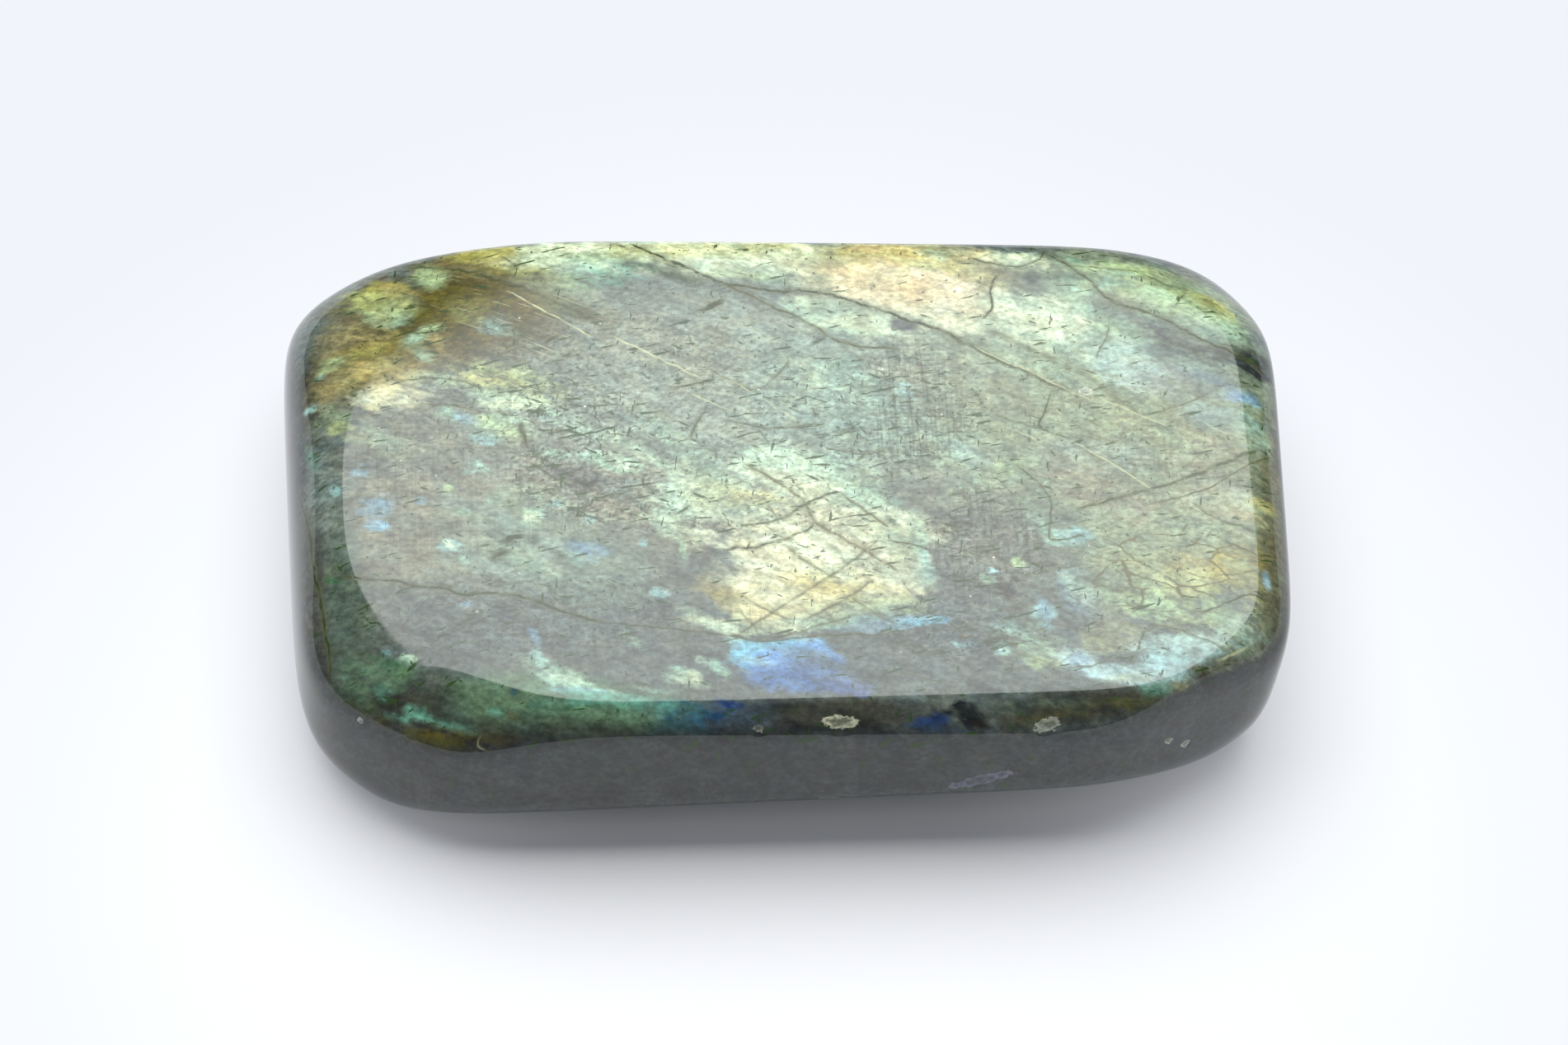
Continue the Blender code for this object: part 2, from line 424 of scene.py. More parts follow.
# The flashes are the bright and the dark patches upon them, laid in this order.
FLASHES = [
    # the dark golden corner at the back left
    ("umber", -23.1, 15.6, 6.8, 5.5, 21, 0.7, 1.16),
    ("umber", -22.0, 15.4, 5.5, 4.0, -22, 0.7, 1.01),
    ("umber", -27.1, 10.7, 5.7, 2.7, 17, 0.4, 1.3),
    ("olive", -31.7, 9.9, 10.0, 2.3, 88, 0.6, 1.01),
    ("honey", -28.2, 9.9, 5.6, 3.6, 9, 0.6, 1.16),
    ("honey", -25.7, 8.8, 3.5, 2.1, 38, 0.5, 1.16),
    ("honey", -23.0, 20.1, 5.9, 2.0, 0, 0.6, 1.16),
    ("gold", -28.8, 9.5, 3.3, 1.6, 17, 0.5, 1.16),
    ("cream", -26.4, 6.8, 4.7, 2.0, 0, 0.7, 1.01),
    ("gold", -27.6, 6.6, 2.5, 1.3, 66, 0.4, 1.3),
    ("citron", -27.8, 18.5, 2.6, 1.8, -15, 0.8, 0.72),
    ("lime", -28.3, 16.8, 1.6, 1.8, 14, 0.7, 1.16),
    ("mint", -27.1, 16.3, 2.0, 1.3, 28, 0.6, 1.16),
    ("lime", -26.3, 16.8, 2.0, 1.0, -45, 0.6, 1.16),
    ("mint", -27.6, 15.1, 2.4, 1.6, -16, 0.85, 0.72),
    ("honey", -26.6, 18.0, 2.2, 1.6, -48, 0.6, 0.87),
    ("lime", -24.6, 19.1, 1.9, 2.0, -29, 0.8, 0.72),
    ("pear", -21.3, 14.9, 2.0, 2.0, -28, 0.5, 1.01),
    ("mint", -25.3, 12.6, 1.5, 1.1, 34, 0.65, 1.16),
    ("lime", -24.3, 13.3, 1.2, 0.8, 7, 0.6, 1.16),
    ("mint", -24.7, 10.8, 1.5, 0.9, -48, 0.6, 0.87),
    ("cyan", -19.8, 12.8, 1.6, 1.1, -26, 0.6, 1.16),
    ("mint", -18.7, 12.4, 1.3, 0.7, -29, 0.5, 1.16),
    ("cyan", -19.4, 13.5, 1.4, 1.3, -58, 0.5, 1.01),
    ("lime", -31.9, 10.4, 0.6, 0.9, 5, 0.9, 0.58),
    ("lime", -31.0, 10.8, 1.0, 1.2, 41, 0.8, 0.72),
    ("mint", -31.8, 9.8, 0.6, 0.6, 14, 0.9, 0.58),
    ("cyan", -32.5, 6.9, 0.7, 0.6, -12, 0.9, 0.58),
    ("sage", -30.9, 5.1, 2.0, 1.9, -36, 0.6, 1.01),
    ("pear", -30.4, 4.3, 1.1, 1.2, 25, 0.5, 0.87),
    ("teal", -32.8, 3.3, 2.1, 0.7, -77, 0.7, 0.72),
    ("black", -33.0, 2.5, 3.7, 0.8, -81, 0.9, 0.72),
    ("milk", -26.8, 2.7, 3.7, 1.4, -21, 0.25, 1.3),
    # pale strokes left of the middle
    ("milk", -18.9, 6.4, 5.7, 1.3, -11, 0.8, 0.87),
    ("pearl", -19.3, 5.9, 4.1, 0.7, -10, 0.5, 1.01),
    ("milk", -18.7, 4.3, 3.1, 1.7, -21, 0.7, 0.87),
    ("lime", -19.3, 3.7, 3.5, 1.4, -22, 0.6, 1.01),
    ("mint", -22.8, 5.1, 1.6, 1.2, -22, 0.6, 1.01),
    ("sky", -21.6, 4.7, 1.2, 0.8, -38, 0.6, 1.01),
    ("cyan", -20.3, 2.9, 1.8, 1.0, -19, 0.6, 1.01),
    ("mint", -20.4, 0.5, 1.2, 0.7, -38, 0.6, 0.87),
    ("mint", -15.4, 1.6, 2.4, 1.0, -19, 0.6, 0.87),
    ("mint", -11.4, 0.9, 4.0, 1.4, -15, 0.8, 0.72),
    ("pearl", -11.2, 1.2, 2.3, 0.8, -41, 0.6, 0.87),
    ("milk", -13.8, 4.0, 8.0, 1.1, -30, 0.5, 1.16),
    ("sage", -7.5, 3.1, 6.4, 2.0, -44, 0.4, 1.16),
    ("milk", -9.2, 1.8, 6.1, 1.1, -41, 0.5, 1.16),
    ("cyan", -10.7, -1.3, 2.0, 1.0, 0, 0.4, 1.16),
    ("sage", -15.9, -2.4, 5.1, 1.7, -25, 0.4, 1.16),
    ("sky", -28.6, 0.2, 1.1, 1.3, -4, 0.5, 1.16),
    ("sky", -27.3, -3.0, 1.9, 1.6, -6, 0.75, 1.01),
    ("sky", -27.2, -4.7, 1.5, 0.8, -10, 0.8, 0.87),
    ("cyan", -22.2, -6.4, 1.3, 1.1, -12, 0.95, 0.51),
    ("white", -22.2, -6.4, 0.9, 0.5, -39, 0.7, 0.72),
    ("mint", -16.7, -4.0, 1.1, 1.6, -4, 0.85, 0.87),
    ("pearl", -16.7, -4.0, 0.7, 0.8, 0, 0.6, 0.87),
    ("cyan", -12.8, -4.2, 0.7, 0.7, -23, 0.6, 0.87),
    ("sky", -12.8, -6.7, 2.1, 0.8, -8, 0.8, 0.72),
    ("sky", -13.3, -7.5, 1.2, 0.7, -7, 0.6, 0.87),
    ("cyan", -15.0, -2.8, 0.5, 0.4, -25, 0.9, 0.58),
    ("mint", -21.5, -3.7, 0.7, 0.8, -23, 0.6, 0.87),
    ("sky", -24.3, -2.5, 0.6, 0.7, -7, 0.5, 1.01),
    ("cyan", -21.2, 0.1, 0.9, 0.7, -10, 0.5, 1.01),
    ("lime", -22.4, -1.4, 0.6, 0.6, 0, 0.7, 0.87),
    ("sage", -18.6, -2.4, 1.8, 1.5, -28, 0.5, 1.16),
    ("mint", -21.2, -7.7, 0.7, 0.6, -58, 0.6, 0.72),
    ("sage", -17.7, -7.4, 4.5, 1.6, -28, 0.5, 1.16),
    ("fog", -15.2, -7.4, 4.9, 1.9, -46, 0.5, 1.16),
    ("mint", -13.7, -7.6, 1.0, 0.7, -35, 0.6, 0.87),
    # the grey plain at the lower left
    ("sky", -16.2, -14.3, 1.4, 0.6, -65, 0.7, 0.87),
    ("cyan", -16.0, -15.9, 1.3, 0.8, -56, 0.75, 0.87),
    ("sage", -15.0, -16.9, 3.7, 1.2, -24, 0.5, 1.16),
    ("mint", -14.0, -17.9, 2.8, 1.3, -19, 0.8, 0.87),
    ("cyan", -12.9, -18.6, 4.1, 0.5, -4, 0.9, 0.72),
    ("pearl", -14.4, -17.6, 2.2, 0.6, -18, 0.4, 1.01),
    ("milk", -24.8, -15.2, 1.1, 0.6, -21, 0.85, 0.65),
    ("cyan", -26.3, -14.5, 0.7, 0.3, -24, 0.9, 0.58),
    ("sky", -21.0, -11.4, 0.5, 0.6, -32, 0.7, 0.72),
    ("rust", -21.3, -11.1, 0.3, 0.3, 0, 0.6, 0.87),
    # the bright middle, in parallelograms between cleavage lines
    ("milk", -5.6, -2.4, 4.8, 3.2, 0, 0.85, 1.01),
    ("milk", -6.9, -4.9, 4.0, 2.0, -32, 0.6, 1.16),
    ("milk", -4.4, -1.3, 5.9, 3.3, -47, 0.5, 1.16),
    ("sage", -3.7, -1.1, 3.6, 1.8, -30, 0.6, 0.87),
    ("butter", -1.0, -2.4, 7.4, 1.9, -7, 0.55, 1.01),
    ("milk", 4.7, -0.2, 4.5, 2.5, -29, 0.6, 1.01),
    ("mint", 6.3, -3.4, 6.8, 3.1, -25, 0.65, 0.87),
    ("milk", 6.1, -3.1, 5.0, 1.7, -26, 0.6, 0.87),
    ("sage", -0.7, -4.9, 4.7, 2.1, -16, 0.85, 0.58),
    ("mint", -1.1, -3.7, 2.3, 1.0, -32, 0.6, 0.87),
    ("cream", 3.0, -8.8, 12.9, 5.9, 3, 0.9, 0.43),
    ("cream", 3.8, -5.6, 13.5, 3.6, 0, 0.75, 0.72),
    ("milk", 0.6, 0.2, 6.0, 3.5, -12, 0.85, 0.36),
    ("cream", 0.6, -1.0, 4.3, 1.6, -12, 0.45, 0.87),
    ("butter", 1.1, -10.9, 8.7, 3.9, 9, 0.8, 0.58),
    ("cream", 0.7, -12.3, 6.1, 2.1, 0, 0.5, 1.01),
    ("gold", -0.4, -12.3, 6.2, 1.0, 9, 0.6, 1.01),
    ("gold", 0.7, -10.5, 6.2, 1.3, 10, 0.45, 1.16),
    ("honey", 3.4, -9.8, 2.0, 0.6, 8, 0.6, 1.01),
    ("ochre", -3.5, -10.5, 1.4, 1.5, 23, 0.5, 1.01),
    ("white", 3.0, -7.2, 4.6, 2.3, -32, 0.9, 0.72),
    ("cream", -1.0, -10.0, 4.1, 1.8, -20, 0.7, 0.72),
    ("white", 7.4, -8.8, 4.0, 1.4, -10, 0.6, 0.87),
    ("sage", 8.4, -6.4, 2.4, 2.0, -36, 0.7, 0.72),
    ("lime", 7.7, -11.5, 4.5, 1.4, -7, 0.5, 1.01),
    ("mint", 9.8, -6.9, 4.6, 1.1, -84, 0.7, 0.72),
    ("cyan", 10.3, -8.0, 2.4, 0.7, -72, 0.7, 0.72),
    ("mint", 2.2, -13.2, 8.6, 1.1, 5, 0.8, 0.87),
    ("sage", 5.2, -12.0, 5.0, 1.1, 6, 0.6, 1.01),
    ("cyan", 6.8, -12.8, 2.8, 0.8, 3, 0.75, 0.87),
    ("sky", 8.0, -13.1, 6.3, 1.0, 9, 0.9, 0.58),
    ("azure", 9.5, -13.0, 3.1, 0.6, 8, 0.8, 0.72),
    ("umber", -4.4, -9.3, 2.4, 1.9, 50, 0.3, 1.16),
    ("brown", -4.3, -10.2, 3.0, 1.7, -45, 0.45, 1.01),
    ("milk", -4.9, -12.8, 2.4, 0.9, -35, 0.75, 0.72),
    ("pearl", -3.7, -13.3, 3.0, 0.7, -22, 0.7, 0.72),
    ("milk", -2.9, -13.3, 2.0, 0.9, 57, 0.5, 1.01),
    ("cyan", -2.0, -14.8, 2.6, 0.7, -9, 0.8, 0.72),
    ("azure", 0.4, -15.3, 5.6, 1.8, 6, 0.9, 0.58),
    ("azure", -1.8, -16.3, 2.3, 1.5, -14, 0.7, 0.72),
    ("violet", 1.5, -16.3, 4.4, 2.4, 7, 0.85, 0.58),
    ("periwinkle", -0.1, -16.4, 1.5, 1.0, -38, 0.5, 0.72),
    ("periwinkle", 3.0, -15.1, 1.1, 0.9, -47, 0.5, 1.01),
    ("cyan", -1.2, -16.3, 1.7, 0.5, -12, 0.6, 0.87),
    ("sky", 1.3, -15.4, 2.8, 0.5, -10, 0.6, 0.87),
    ("ash", 3.1, -16.5, 1.7, 0.8, -24, 0.5, 1.16),
    ("violet", 0.9, -17.7, 5.8, 1.9, -4, 0.8, 0.72),
    ("lilac", 4.6, -18.3, 2.9, 1.0, -9, 0.8, 0.72),
    ("milk", -5.1, -16.1, 1.0, 0.6, -41, 0.7, 0.87),
    ("mint", -6.1, -17.1, 2.1, 0.8, -11, 0.7, 0.87),
    ("white", -5.4, -17.5, 1.0, 0.6, -40, 0.8, 0.72),
    ("mint", -3.8, -16.8, 2.0, 0.9, -43, 0.6, 0.87),
    ("milk", -6.1, -17.8, 2.9, 0.8, -16, 0.6, 1.01),
    ("mint", -9.7, -14.6, 1.9, 0.9, -53, 0.3, 1.16),
    ("mint", -8.4, -18.6, 2.3, 0.4, -13, 0.5, 1.01),
    # right of the middle
    ("cyan", -9.1, -6.2, 0.6, 0.6, -55, 0.8, 0.58),
    ("mint", -6.4, -6.8, 1.8, 0.5, -74, 0.8, 0.72),
    ("cyan", -7.9, -10.5, 1.0, 0.7, -25, 0.85, 0.72),
    ("milk", 12.9, 1.5, 3.5, 2.2, 10, 0.5, 1.16),
    ("mint", 13.6, 1.7, 3.8, 2.6, -18, 0.7, 0.87),
    ("cyan", 13.6, 1.3, 2.2, 1.3, -24, 0.5, 1.01),
    ("lime", 15.7, 0.2, 2.5, 1.4, 24, 0.6, 1.01),
    ("sage", 12.9, -1.5, 3.6, 1.8, 18, 0.4, 1.16),
    ("cyan", 19.9, -5.7, 2.4, 1.7, 3, 0.75, 0.58),
    ("mint", 18.4, -5.6, 1.6, 0.7, -66, 0.6, 0.87),
    ("sage", 17.6, -3.4, 3.3, 1.5, -61, 0.5, 1.16),
    ("mint", 14.3, -9.3, 1.0, 0.8, -26, 0.7, 0.72),
    ("cyan", 14.7, -8.6, 1.2, 0.4, -21, 0.6, 0.87),
    ("lime", 16.4, -7.9, 0.9, 0.8, -29, 0.8, 0.72),
    ("peat", 16.2, -9.3, 0.7, 0.5, -52, 0.8, 0.72),
    ("dim", 15.3, -10.3, 1.4, 1.1, -30, 0.6, 1.01),
    ("cyan", 18.0, -12.1, 1.2, 1.5, -27, 0.85, 0.72),
    ("sky", 18.1, -12.2, 2.3, 0.8, -78, 0.7, 0.72),
    ("sky", 20.2, -10.3, 3.3, 2.0, -70, 0.6, 1.01),
    ("milk", 19.7, -9.5, 1.1, 0.8, -53, 0.4, 1.01),
    ("cyan", 15.6, -13.4, 2.0, 0.8, -20, 0.5, 1.01),
    ("peat", 14.8, -14.8, 1.5, 0.8, -28, 0.85, 0.72),
    ("cyan", 15.1, -15.4, 0.9, 0.8, -4, 0.95, 0.58),
    ("rust", 12.6, -14.1, 0.3, 0.3, -27, 0.9, 0.72),
    ("cyan", 12.5, -14.8, 1.4, 0.6, -11, 0.5, 1.01),
    ("sage", 17.6, -14.9, 4.0, 2.7, -36, 0.5, 1.16),
    ("lime", 17.3, -16.3, 2.8, 1.1, -8, 0.4, 1.16),
    ("cyan", 9.0, 7.2, 1.3, 1.3, -27, 0.5, 1.16),
    ("mist", 5.6, 8.6, 4.4, 1.9, -59, 0.5, 1.16),
    ("cyan", 4.7, 3.8, 1.8, 0.9, -21, 0.5, 1.16),
    # the right, between wavy seams
    ("butter", 26.7, -8.2, 6.6, 2.8, 4, 0.3, 1.16),
    ("butter", 27.9, -9.3, 3.6, 2.4, -7, 0.6, 1.01),
    ("straw", 23.1, -7.4, 5.1, 2.1, 8, 0.5, 1.16),
    ("gold", 28.5, -8.8, 2.6, 2.1, -15, 0.2, 1.16),
    ("ochre", 29.9, -8.5, 3.9, 0.6, 87, 0.5, 1.16),
    ("ochre", 31.5, -8.4, 2.7, 4.1, 7, 0.6, 0.43),
    ("sage", 23.8, -11.2, 5.7, 1.8, -14, 0.5, 1.16),
    ("sage", 30.5, -13.1, 3.7, 1.9, -52, 0.7, 0.87),
    ("khaki", 22.6, -14.4, 3.8, 2.3, 0, 0.6, 0.58),
    ("taupe", 22.6, -13.3, 3.9, 2.0, -46, 0.4, 1.01),
    ("ice", 20.3, -16.3, 2.5, 1.7, -28, 0.8, 0.72),
    ("periwinkle", 20.3, -16.3, 1.2, 0.9, -20, 0.3, 1.16),
    ("ice", 24.0, -17.2, 5.8, 1.6, 0, 0.95, 0.58),
    ("ice", 27.4, -15.2, 4.7, 2.3, 4, 0.85, 0.58),
    ("cyan", 26.1, -15.9, 2.8, 1.3, 7, 0.5, 1.01),
    ("pearl", 23.9, -17.5, 2.8, 0.5, 4, 0.5, 1.01),
    ("milk", 30.6, -2.9, 4.5, 2.1, -32, 0.7, 0.72),
    ("lime", 32.0, -2.7, 3.7, 1.5, -24, 0.6, 0.87),
    ("sky", 31.5, -1.5, 1.4, 0.7, -36, 0.4, 1.16),
    ("citron", 33.3, -2.6, 1.4, 1.0, -18, 0.8, 0.72),
    ("gold", 32.3, -3.9, 1.8, 0.9, -21, 0.5, 1.01),
    # the back edge
    ("honey", -21.7, 20.4, 3.2, 1.4, 5, 0.7, 1.01),
    ("citron", -20.1, 20.9, 4.7, 1.2, -4, 0.85, 0.72),
    ("citron", -18.5, 19.2, 3.0, 1.5, -6, 0.7, 0.87),
    ("pear", -15.9, 17.7, 3.9, 1.8, -23, 0.5, 1.16),
    ("white", -13.6, 20.2, 8.2, 2.2, 1, 0.9, 0.58),
    ("pearl", -13.6, 20.3, 5.9, 1.4, 3, 0.8, 0.72),
    ("mint", -12.1, 19.0, 5.3, 1.6, 2, 0.7, 0.87),
    ("lime", -10.2, 20.5, 3.3, 0.9, -12, 0.7, 0.87),
    ("honey", -19.1, 21.0, 0.8, 0.6, -25, 0.6, 0.87),
    ("honey", -12.4, 21.1, 3.5, 0.6, 4, 0.5, 1.01),
    ("teal", -12.1, 17.5, 5.3, 2.1, 12, 0.5, 1.16),
    ("pine", -7.6, 18.3, 4.8, 1.8, -24, 0.8, 0.72),
    ("olive", -12.3, 14.1, 3.8, 1.8, -24, 0.4, 1.16),
    ("pine", -15.2, 15.3, 5.5, 0.9, -31, 0.5, 1.16),
    ("olive", -20.0, 18.3, 5.5, 1.1, -29, 0.5, 1.16),
    ("teal", -15.5, 14.7, 1.8, 1.0, -21, 0.7, 0.87),
    ("white", -2.8, 20.4, 11.1, 2.7, -2, 0.95, 0.43),
    ("pearl", -2.2, 18.7, 6.4, 2.2, 0, 0.85, 0.72),
    ("citron", -1.0, 20.9, 2.9, 0.8, 5, 0.5, 1.01),
    ("lime", -2.2, 17.8, 4.1, 0.8, -7, 0.5, 1.16),
    ("sage", -0.1, 17.3, 4.7, 1.3, -10, 0.5, 1.01),
    ("gold", 2.5, 18.6, 5.3, 1.2, -9, 0.4, 1.16),
    ("gold", 7.2, 20.2, 5.3, 2.2, 0, 0.8, 0.72),
    ("apricot", 6.2, 20.7, 1.4, 1.0, -9, 0.8, 0.87),
    ("apricot", 7.1, 18.6, 4.1, 1.0, 4, 0.6, 1.01),
    ("apricot", 11.5, 17.5, 4.8, 0.9, -14, 0.6, 1.01),
    ("gold", 11.2, 19.8, 3.0, 1.5, -15, 0.6, 1.01),
    ("milk", 11.1, 19.9, 2.1, 1.0, -19, 0.5, 1.01),
    ("apricot", 13.9, 19.9, 1.9, 1.0, 18, 0.7, 0.87),
    ("shell", 9.9, 16.2, 9.6, 4.3, -8, 0.9, 0.72),
    ("shell", 11.6, 13.7, 6.1, 2.1, -3, 0.85, 0.72),
    ("pearl", 12.3, 13.4, 4.3, 1.9, -21, 0.6, 0.87),
    ("pearl", 2.3, 14.9, 3.3, 1.2, -13, 0.8, 0.72),
    ("milk", 4.8, 13.8, 7.8, 2.6, -15, 0.75, 0.58),
    ("pearl", 5.6, 13.5, 4.7, 1.1, -13, 0.6, 0.87),
    ("grape", 8.8, 13.1, 1.2, 0.9, -15, 0.9, 0.72),
    ("grape", 9.7, 13.4, 0.6, 0.4, -15, 0.5, 0.87),
    ("milk", 17.1, 19.4, 2.5, 1.5, 9, 0.7, 0.72),
    ("pearl", 16.8, 19.7, 1.1, 0.7, -10, 0.6, 0.87),
    ("moss", 18.3, 17.6, 5.0, 1.4, -7, 0.35, 1.3),
    ("pine", 19.1, 17.8, 6.1, 0.6, -10, 0.6, 1.16),
    ("teal", 21.4, 18.5, 2.6, 1.5, -27, 0.6, 1.16),
    ("pine", 19.1, 18.4, 3.5, 0.7, -10, 0.5, 1.16),
    ("pearl", 18.5, 14.1, 6.8, 3.6, -12, 0.9, 0.72),
    ("pearl", 18.5, 13.1, 5.6, 2.7, -11, 0.6, 0.87),
    ("mint", 21.3, 15.6, 2.7, 1.8, -34, 0.6, 1.01),
    ("pearl", 16.4, 11.9, 4.0, 1.9, -22, 0.6, 1.01),
    ("sage", 18.1, 9.5, 5.2, 2.2, -21, 0.5, 1.16),
    ("lime", 24.3, 18.5, 4.8, 1.3, 2, 0.8, 0.72),
    ("mint", 24.8, 16.4, 3.7, 2.4, -24, 0.85, 0.72),
    ("lime", 26.9, 16.1, 4.1, 2.2, -7, 0.8, 0.72),
    ("pear", 30.0, 15.3, 4.0, 2.4, -32, 0.9, 0.58),
    ("citron", 31.1, 15.2, 2.9, 1.5, -46, 0.6, 1.01),
    ("mint", 30.8, 12.8, 3.1, 1.8, -23, 0.85, 0.58),
    ("teal", 23.0, 14.1, 2.7, 1.2, -34, 0.5, 1.16),
    ("ice", 24.9, 9.9, 5.3, 3.4, -12, 0.7, 0.87),
    ("milk", 23.8, 10.8, 3.6, 2.9, -39, 0.4, 1.16),
    ("sky", 29.4, 8.2, 4.2, 1.6, -22, 0.6, 1.01),
    ("ice", 25.1, 8.2, 4.8, 1.9, -18, 0.6, 1.01),
    ("dim", 29.6, 12.0, 9.0, 2.0, -16, 0.8, 1.01),
    ("smoke", 31.0, 11.0, 6.4, 2.8, -7, 0.85, 0.87),
    ("sky", 32.5, 6.8, 1.6, 1.0, -5, 0.8, 0.72),
    ("periwinkle", 31.6, 6.7, 0.9, 0.7, -39, 0.6, 0.87),
    ("cyan", 31.0, 4.7, 4.1, 1.9, -16, 0.7, 0.72),
    ("mint", 32.8, 3.9, 2.2, 2.1, -20, 0.6, 0.72),
    ("sage", 33.5, 2.7, 1.7, 1.8, -50, 0.5, 0.87),
    ("black", 33.2, 9.8, 1.7, 1.3, -26, 1.0, 0.51),
    ("black", 34.2, 9.6, 1.5, 0.9, 23, 0.9, 0.58),
    # the right edge
    ("sky", 33.2, -9.1, 1.0, 0.5, -80, 0.8, 0.72),
    ("brown", 33.9, -4.2, 5.9, 0.8, 88, 0.4, 1.16),
    ("olive", 34.3, 0.5, 2.5, 1.7, -76, 0.5, 1.16),
    # the left edge and the front shoulder
    ("teal", -32.0, 2.1, 1.9, 0.6, -76, 0.5, 1.16),
    ("cyan", -30.3, -1.3, 1.2, 0.6, -52, 0.5, 1.01),
    ("leaf", -30.3, -8.5, 1.3, 0.5, -35, 0.7, 1.01),
    ("fern", -26.4, -15.8, 4.3, 1.7, -25, 0.7, 1.16),
    ("leaf", -25.2, -15.7, 2.2, 0.7, -24, 0.5, 1.16),
    ("fern", -28.4, -16.5, 2.7, 1.1, -32, 0.5, 1.16),
    ("teal", -26.4, -17.1, 1.1, 0.6, -32, 0.6, 1.01),
    ("black", -29.1, -17.0, 2.6, 1.1, -24, 0.4, 1.16),
    ("umber", -26.7, -18.5, 1.5, 0.9, -41, 0.4, 1.16),
    ("teal", -24.7, -18.7, 2.9, 0.3, -20, 0.9, 0.72),
    ("aqua", -23.3, -19.2, 4.8, 0.3, -18, 0.95, 0.65),
    ("teal", -24.1, -18.3, 2.6, 0.3, -14, 0.6, 0.87),
    ("teal", -18.8, -19.4, 0.8, 0.5, -21, 0.85, 0.72),
    ("honey", -17.4, -19.7, 0.8, 0.4, -19, 0.85, 0.72),
    ("petrol", -17.5, -18.4, 0.5, 0.4, -32, 0.9, 0.58),
    ("leaf", -15.0, -19.5, 3.3, 0.8, -3, 0.6, 1.16),
    ("aqua", -10.8, -19.0, 6.1, 0.5, -4, 0.85, 0.87),
    ("teal", -11.4, -19.4, 6.1, 0.8, -3, 0.7, 1.01),
    ("leaf", -12.8, -19.8, 7.7, 0.5, -1, 0.4, 1.16),
    ("fern", -12.8, -20.4, 7.7, 1.0, -3, 0.9, 1.16),
    ("peat", -15.0, -20.9, 10.0, 0.6, -2, 0.6, 1.16),
    ("petrol", -6.4, -19.7, 3.0, 1.0, 0, 0.9, 0.72),
    ("cobalt", -4.4, -20.2, 2.6, 0.4, 8, 0.85, 0.87),
    ("petrol", -6.4, -20.7, 2.7, 0.7, -2, 0.7, 1.01),
    ("royal", -3.2, -19.5, 1.9, 0.6, -8, 0.7, 1.01),
    ("teal", -7.3, -19.6, 1.1, 0.6, 26, 0.6, 1.01),
    ("leaf", -5.3, -20.0, 1.2, 0.3, -28, 0.4, 1.16),
    ("umber", -24.0, -20.0, 6.0, 1.1, -16, 0.7, 1.01),
    ("umber", -21.6, -20.3, 5.7, 0.6, -8, 0.4, 1.16),
    ("royal", 10.4, -20.1, 1.9, 0.5, 8, 1.0, 0.72),
    ("navy", 10.1, -20.5, 2.8, 0.4, -2, 0.7, 0.87),
    ("black", 12.3, -19.5, 1.8, 0.5, 9, 1.0, 0.58),
    ("black", 12.6, -19.8, 1.6, 0.8, -53, 1.0, 0.58),
    ("black", 13.3, -20.2, 1.6, 0.5, -8, 1.0, 0.58),
    ("black", 12.7, -19.8, 1.6, 0.8, -14, 0.9, 0.72),
    ("navy", 13.3, -20.7, 3.6, 0.4, -2, 0.8, 0.72),
    ("moss", 17.8, -19.3, 7.2, 0.6, 3, 0.5, 1.16),
    ("umber", 20.9, -19.5, 11.3, 0.8, 8, 0.3, 1.01),
    ("umber", 23.6, -19.3, 3.4, 0.9, 1, 0.25, 1.16),
    ("teal", 26.0, -18.0, 3.2, 0.6, 12, 0.7, 1.01),
    ("honey", 27.4, -17.7, 1.2, 0.5, 3, 0.85, 0.87),
    ("gold", 27.7, -17.4, 0.7, 0.3, 2, 0.5, 1.01),
    ("umber", 30.3, -15.8, 1.8, 0.8, 4, 0.7, 1.01),
    ("drab", 31.3, -15.6, 3.5, 1.3, 33, 0.5, 1.16),
    # broad clouds that dull or brighten what lies under them
    ("taupe", 30.1, 3.8, 6.6, 3.9, -61, 0.5, 1.3),
    ("taupe", 30.1, -2.0, 5.7, 3.4, -48, 0.5, 1.3),
    ("taupe", 26.5, 8.2, 4.2, 3.0, -20, 0.4, 1.3),
    ("taupe", 23.3, -2.4, 4.4, 3.5, -29, 0.45, 1.3),
    ("taupe", 19.9, -0.9, 3.5, 2.8, -38, 0.35, 1.3),
    ("lime", 26.7, -11.1, 5.2, 3.9, -26, 0.45, 1.3),
    ("khaki", 32.3, -12.2, 3.7, 1.9, -78, 0.4, 1.3),
    ("pear", -18.9, 8.2, 6.6, 2.5, -11, 0.6, 1.3),
    ("moss", 4.2, 14.7, 6.4, 1.8, -4, 0.4, 1.16),
    ("taupe", 23.8, 15.0, 2.7, 2.0, -16, 0.6, 1.16),
    ("mint", 27.8, 15.4, 3.3, 2.2, -13, 0.4, 1.16),
    ("milk", 30.5, 13.2, 3.5, 2.5, -12, 0.6, 1.16),
    ("taupe", 13.8, 1.7, 3.4, 2.5, -9, 0.45, 1.3),
    ("ash", 6.6, -9.1, 3.1, 1.8, -24, 0.3, 1.3),
    ("ash", 6.5, -13.1, 2.9, 1.4, -14, 0.3, 1.3),
    ("milk", 3.6, 8.4, 3.6, 2.2, -18, 0.4, 1.3),
    ("ash", -3.5, -2.9, 2.5, 2.1, -25, 0.3, 1.3),
    ("ash", -6.5, -13.0, 2.9, 2.8, -14, 0.3, 1.3),
    ("ash", -3.9, -8.8, 1.6, 1.8, -27, 0.25, 1.3),
    ("ash", -13.4, -0.6, 3.5, 2.1, -12, 0.35, 1.3),
    ("ash", -13.0, -7.0, 2.9, 2.4, -14, 0.35, 1.3),
